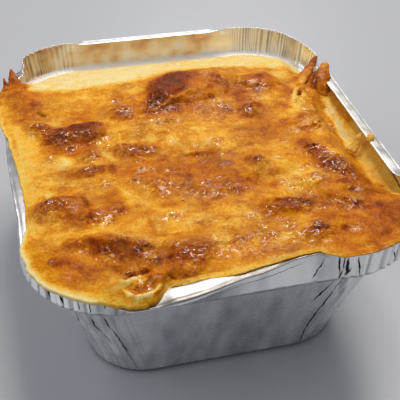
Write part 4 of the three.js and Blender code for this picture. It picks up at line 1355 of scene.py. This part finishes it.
def crease_shade(finish):
    """1 on the creases and 0 beside them: the painted shade of the folds."""
    wander = finish.add("ShaderNodeTexNoise")
    wander.inputs["Scale"].default_value = 1 / (WANDER["blobs"] * MM)
    finish.join(finish.place, wander.inputs["Vector"])
    astray = finish.add("ShaderNodeVectorMath", operation="MULTIPLY_ADD")
    finish.join(wander.outputs["Color"], astray.inputs[0])
    astray.inputs[1].default_value = [WANDER["reach"] * MM] * 3
    finish.join(finish.place, astray.inputs[2])
    shade = 0.0
    for start, end, half_width in CREASE_MARKS:
        start, end = Vector(start), Vector(end)
        middle = (start + end) / 2
        along = (end - start).normalized()
        inner = Vector((np.clip(middle.x, -30, 30), np.clip(middle.y, -38, 38), middle.z))
        outward = middle - inner
        beside = outward.cross(along).normalized()
        axes = Matrix((beside, along.cross(beside), along)).transposed()
        mapping = finish.add("ShaderNodeMapping", vector_type="TEXTURE")
        mapping.inputs["Location"].default_value = (middle + Vector([WANDER["reach"] / 2] * 3)) * MM
        mapping.inputs["Rotation"].default_value = axes.to_euler()
        size = Vector((half_width, MARK_DEPTH, (end - start).length * 0.55))
        mapping.inputs["Scale"].default_value = size * MM
        finish.join(astray.outputs["Vector"], mapping.inputs["Vector"])
        spindle = finish.add("ShaderNodeTexGradient", gradient_type="SPHERICAL")
        finish.join(mapping.outputs["Vector"], spindle.inputs["Vector"])
        shade = finish.math("MAXIMUM", spindle.outputs["Fac"], shade)
    return finish.math("MULTIPLY", shade, MARK_STRENGTH, clamp=True)


# %% [markdown]
# ## Baked fat on the foil
# Inside the flange at the back and right, fat has spat from the food and baked on as a golden
# film, patchy and darker towards the top. The valleys of the pleats are darkened with painted
# shade, the lip is dull, and a painted shadow line runs beside its fold at the front. All this
# could be painted by hand on a texture. Here it follows from the place and the slope of each
# vertex, so it stays right when the tray is changed, and the values are kept on the mesh for
# the finish to read.

# %% Film of baked fat, dull foil and painted shade
def film_values(mesh):
    """How much of the metal a dried film covers, how golden it is, and how dark the foil is made by
    painted shade and a dull lip.
    """
    places, normals = read_vectors(mesh) / MM, read_vectors(mesh, "normal")
    x, y, z = places.T
    inner = smooth(0.1, -0.3, normals[:, 0] * x / RIM[0] + normals[:, 1] * y / RIM[1])
    level = smooth(0.4, 0.8, normals[:, 2])
    ledge = level * (np.abs(z - LEDGE_Z) < 1)
    lip = level * (z > LEDGE_Z + 3)
    flange = np.maximum(inner - lip, 0) * smooth(LEDGE_Z - 0.5, LEDGE_Z + 0.3, z)
    patches = noise_at(places, 9.0, 41) + 0.6 * noise_at(places, 3.5, 42)
    bare = noise_at(places * [1, 1, 2], 5.0, 43)
    back = smooth(54, 62, y)
    corner = back * smooth(22, 30, x)
    right = smooth(54, 58, x) * smooth(46, 38, y) * smooth(-38, -26, y)
    at_back = mix((0.75 + 0.4 * bare) * back, 0.4 + 0.5 * bare, corner)
    film = flange * np.maximum(at_back, 0.9 * right)
    film = np.maximum(film, ledge * np.maximum(0.8 * back, 0.9 * right))
    film = np.maximum(film, lip * mix(0.1, 0.35, smooth(-58, -48, x)))
    high = smooth(LEDGE_Z + 3, LEDGE_Z + 9, z)
    fatty = right * mix(1.0, 0.3, smooth(4, -8, y))
    stained = mix(back * (0.42 + 0.6 * patches + 0.2 * high), 0.14 + 0.2 * patches, corner)
    golden = flange * np.maximum(stained, fatty)
    golden = np.where(ledge > 0.5, np.maximum(0.06 * patches - 0.15, 0.9 * fatty), golden)
    golden = np.maximum(golden, lip * right * (0.1 + 0.25 * patches))
    station = np.zeros(len(places), np.int32)
    mesh.attributes["station"].data.foreach_get("value", station)
    wave = (pleat_wave(TRAY) * pleat_share(TRAY))[station]
    strength = np.clip(0.6 + 0.8 * noise_at(places * [1, 1, 0.3], 3.0, 44), 0, 1)
    # Painted shade in the valleys of the pleats, stronger on the flange.
    valley_shade = 0.75 * smooth(0.05, -0.45, wave) * strength * mix(0.35, 1.0, z > LEDGE_Z)
    # A painted shadow line runs beside the fold at the front of the lip; the rest of the lip is
    # dulled, with streaks.
    fold_line = (LEDGE_WIDTH + np.sin(lean_at(TRAY)) * panel_at(TRAY))[station]
    front = smooth(-66, -70, y)
    beside_fold = smooth(2.8, 1.9, fold_line - outside(x, y, WALL_TOP)) * front * smooth(26, 8, x)
    along_front, along_side = places * [0.3, 1, 1], places * [1, 0.3, 1]
    streaks = mix(noise_at(along_side, 1.6, 45), noise_at(along_front, 1.4, 45), front)
    even = mix(0.36, 0.44, right) + 0.16 * front + 0.7 * beside_fold
    dull_and_shaded_lip = lip * (even + 0.35 * streaks + 0.15 * noise_at(places, 7.0, 46))
    return [np.clip(values, 0, 1) for values in (film, golden, valley_shade + dull_and_shaded_lip)]


for value_name, values in zip(("film", "golden", "painted_shade_and_dull_lip"), film_values(tray.data)):
    add_values(tray.data, value_name, values)
    print(value_name, f"covers {np.mean(values):.0%} of the foil")

# %% Foil
FILM_COLOURS = [
    (0.00, linear(252, 250, 244)), (0.25, linear(250, 234, 196)), (0.50, linear(240, 200, 128)),
    (0.75, linear(222, 160, 66)), (0.90, linear(206, 132, 34)), (1.00, linear(250, 182, 40)),
]
foil = Finish("rolled_foil")
film = foil.attribute("film")
uneven = foil.math("MULTIPLY_ADD", foil.noise(2.2), 0.3, -0.15)
golden = foil.math("ADD", foil.attribute("golden"), uneven, clamp=True)
upright = (1, 1, 0.12)
# The bare metal is whiter in upright bands and towards the top: a painted reflection.
bands = foil.math("ADD", foil.noise(11.0, 1.0, upright), foil.noise(5.0, 1.0, upright))
height = foil.add("ShaderNodeSeparateXYZ")
foil.join(foil.place, height.inputs["Vector"])
bands = foil.math("ADD", bands, foil.math("MULTIPLY", height.outputs["Z"], 0.3 / (50 * MM)))
bands = foil.math("MULTIPLY_ADD", bands, 2.0, -1.7, clamp=True)
metal = colour_mix(foil, bands, linear(206, 207, 210), linear(255, 255, 255))
dried = foil.ramp(golden, FILM_COLOURS)
covered = colour_mix(foil, film, metal, dried)
# Painted shade in the pleat valleys and beside the front fold, and the dull lip, mix the foil
# towards a dark grey brown.
painted_shade_and_dull_lip = foil.math("MULTIPLY", foil.attribute("painted_shade_and_dull_lip"), 0.85)
covered = colour_mix(foil, painted_shade_and_dull_lip, covered, linear(66, 60, 54))
# Painted shade: the foil turns dark towards its foot on the floor, and along the crease marks.
painted_contact_shade = foil.math("MULTIPLY_ADD", height.outputs["Z"], -1 / (1.6 * MM), 1.2, clamp=True)
crease = foil.math("MAXIMUM", crease_shade(foil), painted_contact_shade)
foil.join(colour_mix(foil, crease, covered, linear(26, 27, 30)), foil.shader.inputs["Base Color"])
foil.join(foil.math("MULTIPLY_ADD", film, -0.95, 1.0), foil.shader.inputs["Metallic"])
rough = foil.math("MULTIPLY_ADD", foil.noise(3.0, 0.0), 0.12, 0.22)
foil.join(foil.math("MULTIPLY_ADD", film, 0.25, rough), foil.shader.inputs["Roughness"])
dents = foil.bump(foil.noise(8.0, 1.0, (1, 1, 0.25)), 0.5, 0.7)
foil.join(foil.bump(crease, 0.8, -0.3, dents), foil.shader.inputs["Normal"])
tray.data.materials.append(foil.material)
print("nodes in the foil:", len(foil.tree.nodes))

# %% [markdown]
# ## Crust finish
# Baked cheese is dense and a little translucent, and its colour runs from cream over orange to a
# dark red brown. One flat brown with gloss would look like plastic. So the browning of each place
# picks its colour, from two scales that take turns, one strong and one dull. Fine noise breaks
# up the colour below the size of the mesh. Fat gathers in winding lines between the blisters, and
# there the coat is thick and sharp, so that it sparkles. Elsewhere the skin is nearly matt.

# %% Colours of the crust
BROWNING_COLOURS = [
    (0.00, linear(224, 208, 150)), (0.14, linear(224, 190, 92)), (0.28, linear(228, 170, 54)),
    (0.42, linear(206, 134, 20)), (0.57, linear(184, 102, 8)), (0.68, linear(162, 82, 8)),
    (0.78, linear(142, 62, 4)), (0.88, linear(120, 43, 2)), (1.00, linear(78, 22, 1)),
]
DULL_COLOURS = [
    (0.00, linear(226, 208, 150)), (0.14, linear(222, 184, 98)), (0.28, linear(216, 164, 66)),
    (0.42, linear(194, 130, 36)), (0.57, linear(168, 98, 24)), (0.68, linear(146, 78, 18)),
    (0.78, linear(128, 62, 14)), (0.88, linear(106, 46, 10)), (1.00, linear(70, 26, 6)),
]
crust = Finish("baked_crust")
brown = crust.attribute("browning")
speckle = crust.math("MULTIPLY_ADD", crust.noise(0.8, 3.0), 0.4, -0.22)
mottle = crust.math("MULTIPLY_ADD", crust.noise(2.4, 2.0), 0.28, -0.14)
blistered = crust.attribute("blister")
boiled = crust.math("MULTIPLY_ADD", crust.noise(1.5, 2.0, (0.8, 1.3, 1)), 0.8, -0.4)
boiled = crust.math("MULTIPLY", boiled, blistered)
fine = crust.math("ADD", speckle, mottle)
brown = crust.math("ADD", crust.math("ADD", brown, boiled), fine, clamp=True)
dried = crust.math("MULTIPLY_ADD", crust.noise(9.0, 3.0), 4.0, -1.7, clamp=True)
strong, pale = crust.ramp(brown, BROWNING_COLOURS), crust.ramp(brown, DULL_COLOURS)
crust.join(colour_mix(crust, dried, strong, pale), crust.shader.inputs["Base Color"])

# %% Fat and relief on the crust
rough = crust.math("MULTIPLY_ADD", blistered, -0.12, 0.36)
rough = crust.math("ADD", rough, crust.math("MULTIPLY", crust.noise(1.6), 0.16))
crust.join(rough, crust.shader.inputs["Roughness"])
crust.put("Specular IOR Level", 0.13)
crust.put("Specular Tint", linear(255, 170, 90))
ridged = crust.math("ABSOLUTE", crust.math("SUBTRACT", crust.noise(1.9, 1.0), 0.5))
wet = crust.math("MULTIPLY_ADD", ridged, -9.0, 1.1, clamp=True)
greasy = crust.math("MULTIPLY_ADD", crust.noise(5.0, 2.0), 2.4, -1.05, clamp=True)
greasy = crust.math("ADD", blistered, crust.math("MULTIPLY", greasy, 0.18))
crust.join(crust.math("MULTIPLY", wet, greasy, clamp=True), crust.shader.inputs["Coat Weight"])
crust.put("Coat Roughness", 0.07)
crust.put("Coat IOR", 1.55)
crust.put("Subsurface Weight", 0.2)
crust.put("Subsurface Radius", (1.0, 0.45, 0.12))
crust.put("Subsurface Scale", 2.0 * MM)
pitted = crust.math("MULTIPLY_ADD", blistered, -2.6, -0.15)
folds = crust.math("MULTIPLY", ridged, pitted)
normal = crust.bump(folds, 1.0, 0.9)
normal = crust.bump(crust.noise(1.0, 4.0), 0.6, 0.5, normal)
crust.join(crust.bump(crust.noise(0.45, 3.0), 0.25, 0.12, normal), crust.shader.inputs["Normal"])
for piece in [meal] + standing:
    piece.data.materials.append(crust.material)
print("nodes in the crust:", len(crust.tree.nodes))

# %% [markdown]
# ## Floor, light and camera
# The tray stands on a plain grey sheet that shines a little. A sheet curved up at the back is
# common in a studio, but a wide flat one looks the same from here. The main light is a large soft
# lamp, behind and above the tray. A tall panel behind it is what the ledge and the folded lip
# reflect. A small warm lamp makes the wet blisters sparkle, which a large one wouldn't, and a
# weak soft one from the left opens up the shadows. The rest of the room is dim and even.

# %% Floor
clear_selection()
bpy.ops.mesh.primitive_plane_add(size=6.0)
floor = bpy.context.object
floor.name = "studio_floor"
sheet = Finish("studio_grey")
sheet.put("Base Color", linear(174, 177, 183))
sheet.put("Roughness", 0.34)
sheet.put("Specular IOR Level", 0.9)
floor.data.materials.append(sheet.material)
print("floor:", tuple(floor.dimensions))

# %% Lamps and surroundings
TARGET = Vector((0, 0, 40)) * MM


def soft_lamp(name, place_mm, size_mm, watts, colour=(1, 1, 1)):
    """A rectangular lamp that faces the tray."""
    lamp = bpy.data.lights.new(name, "AREA")
    lamp.shape = "RECTANGLE"
    lamp.size, lamp.size_y = (s * MM for s in size_mm)
    lamp.energy = watts
    lamp.color = colour
    holder = bpy.data.objects.new(name, lamp)
    bpy.context.scene.collection.objects.link(holder)
    holder.location = Vector(place_mm) * MM
    holder.rotation_euler = (TARGET - holder.location).to_track_quat("-Z", "Y").to_euler()
    print(name, watts, "W")


soft_lamp("ceiling_softbox", (190, 300, 760), (400, 400), 3.7, (1.0, 0.96, 0.92))
soft_lamp("left_fill", (-500, -60, 640), (460, 460), 1.35)
soft_lamp("small_lamp", (40, 330, 700), (110, 110), 1.1, (1.0, 0.88, 0.76))
soft_lamp("back_panel", (190, 640, 570), (260, 560), 0.75)
world = bpy.data.worlds.new("studio")
bpy.context.scene.world = world
world.use_nodes = True
background = world.node_tree.nodes["Background"]
background.inputs["Color"].default_value = linear(200, 201, 206)
background.inputs["Strength"].default_value = 0.56
bpy.context.scene.view_settings.view_transform = "Standard"

# %% Camera
CAMERA_PLACE = Vector((-52.0, -225.25, 212.41)) * MM
# In degrees: how far it turns from facing the back, how far up from straight down, and how far
# it leans to one side.
CAMERA_TURN, CAMERA_TILT, CAMERA_ROLL = -13.878, 51.648, 0.8


def camera_facing():
    turn, tilt, roll = (math.radians(angle) for angle in (CAMERA_TURN, CAMERA_TILT, CAMERA_ROLL))
    facing = Matrix.Rotation(turn, 4, "Z") @ Matrix.Rotation(tilt, 4, "X")
    return facing @ Matrix.Rotation(roll, 4, "Z")


lens = bpy.data.cameras.new("camera")
lens.lens = 69.5
lens.sensor_width = 36.0
lens.clip_start = 0.01
camera = bpy.data.objects.new("camera", lens)
bpy.context.scene.collection.objects.link(camera)
camera.matrix_world = Matrix.Translation(CAMERA_PLACE) @ camera_facing()
bpy.context.scene.camera = camera
print("camera at", tuple(camera.matrix_world.translation))
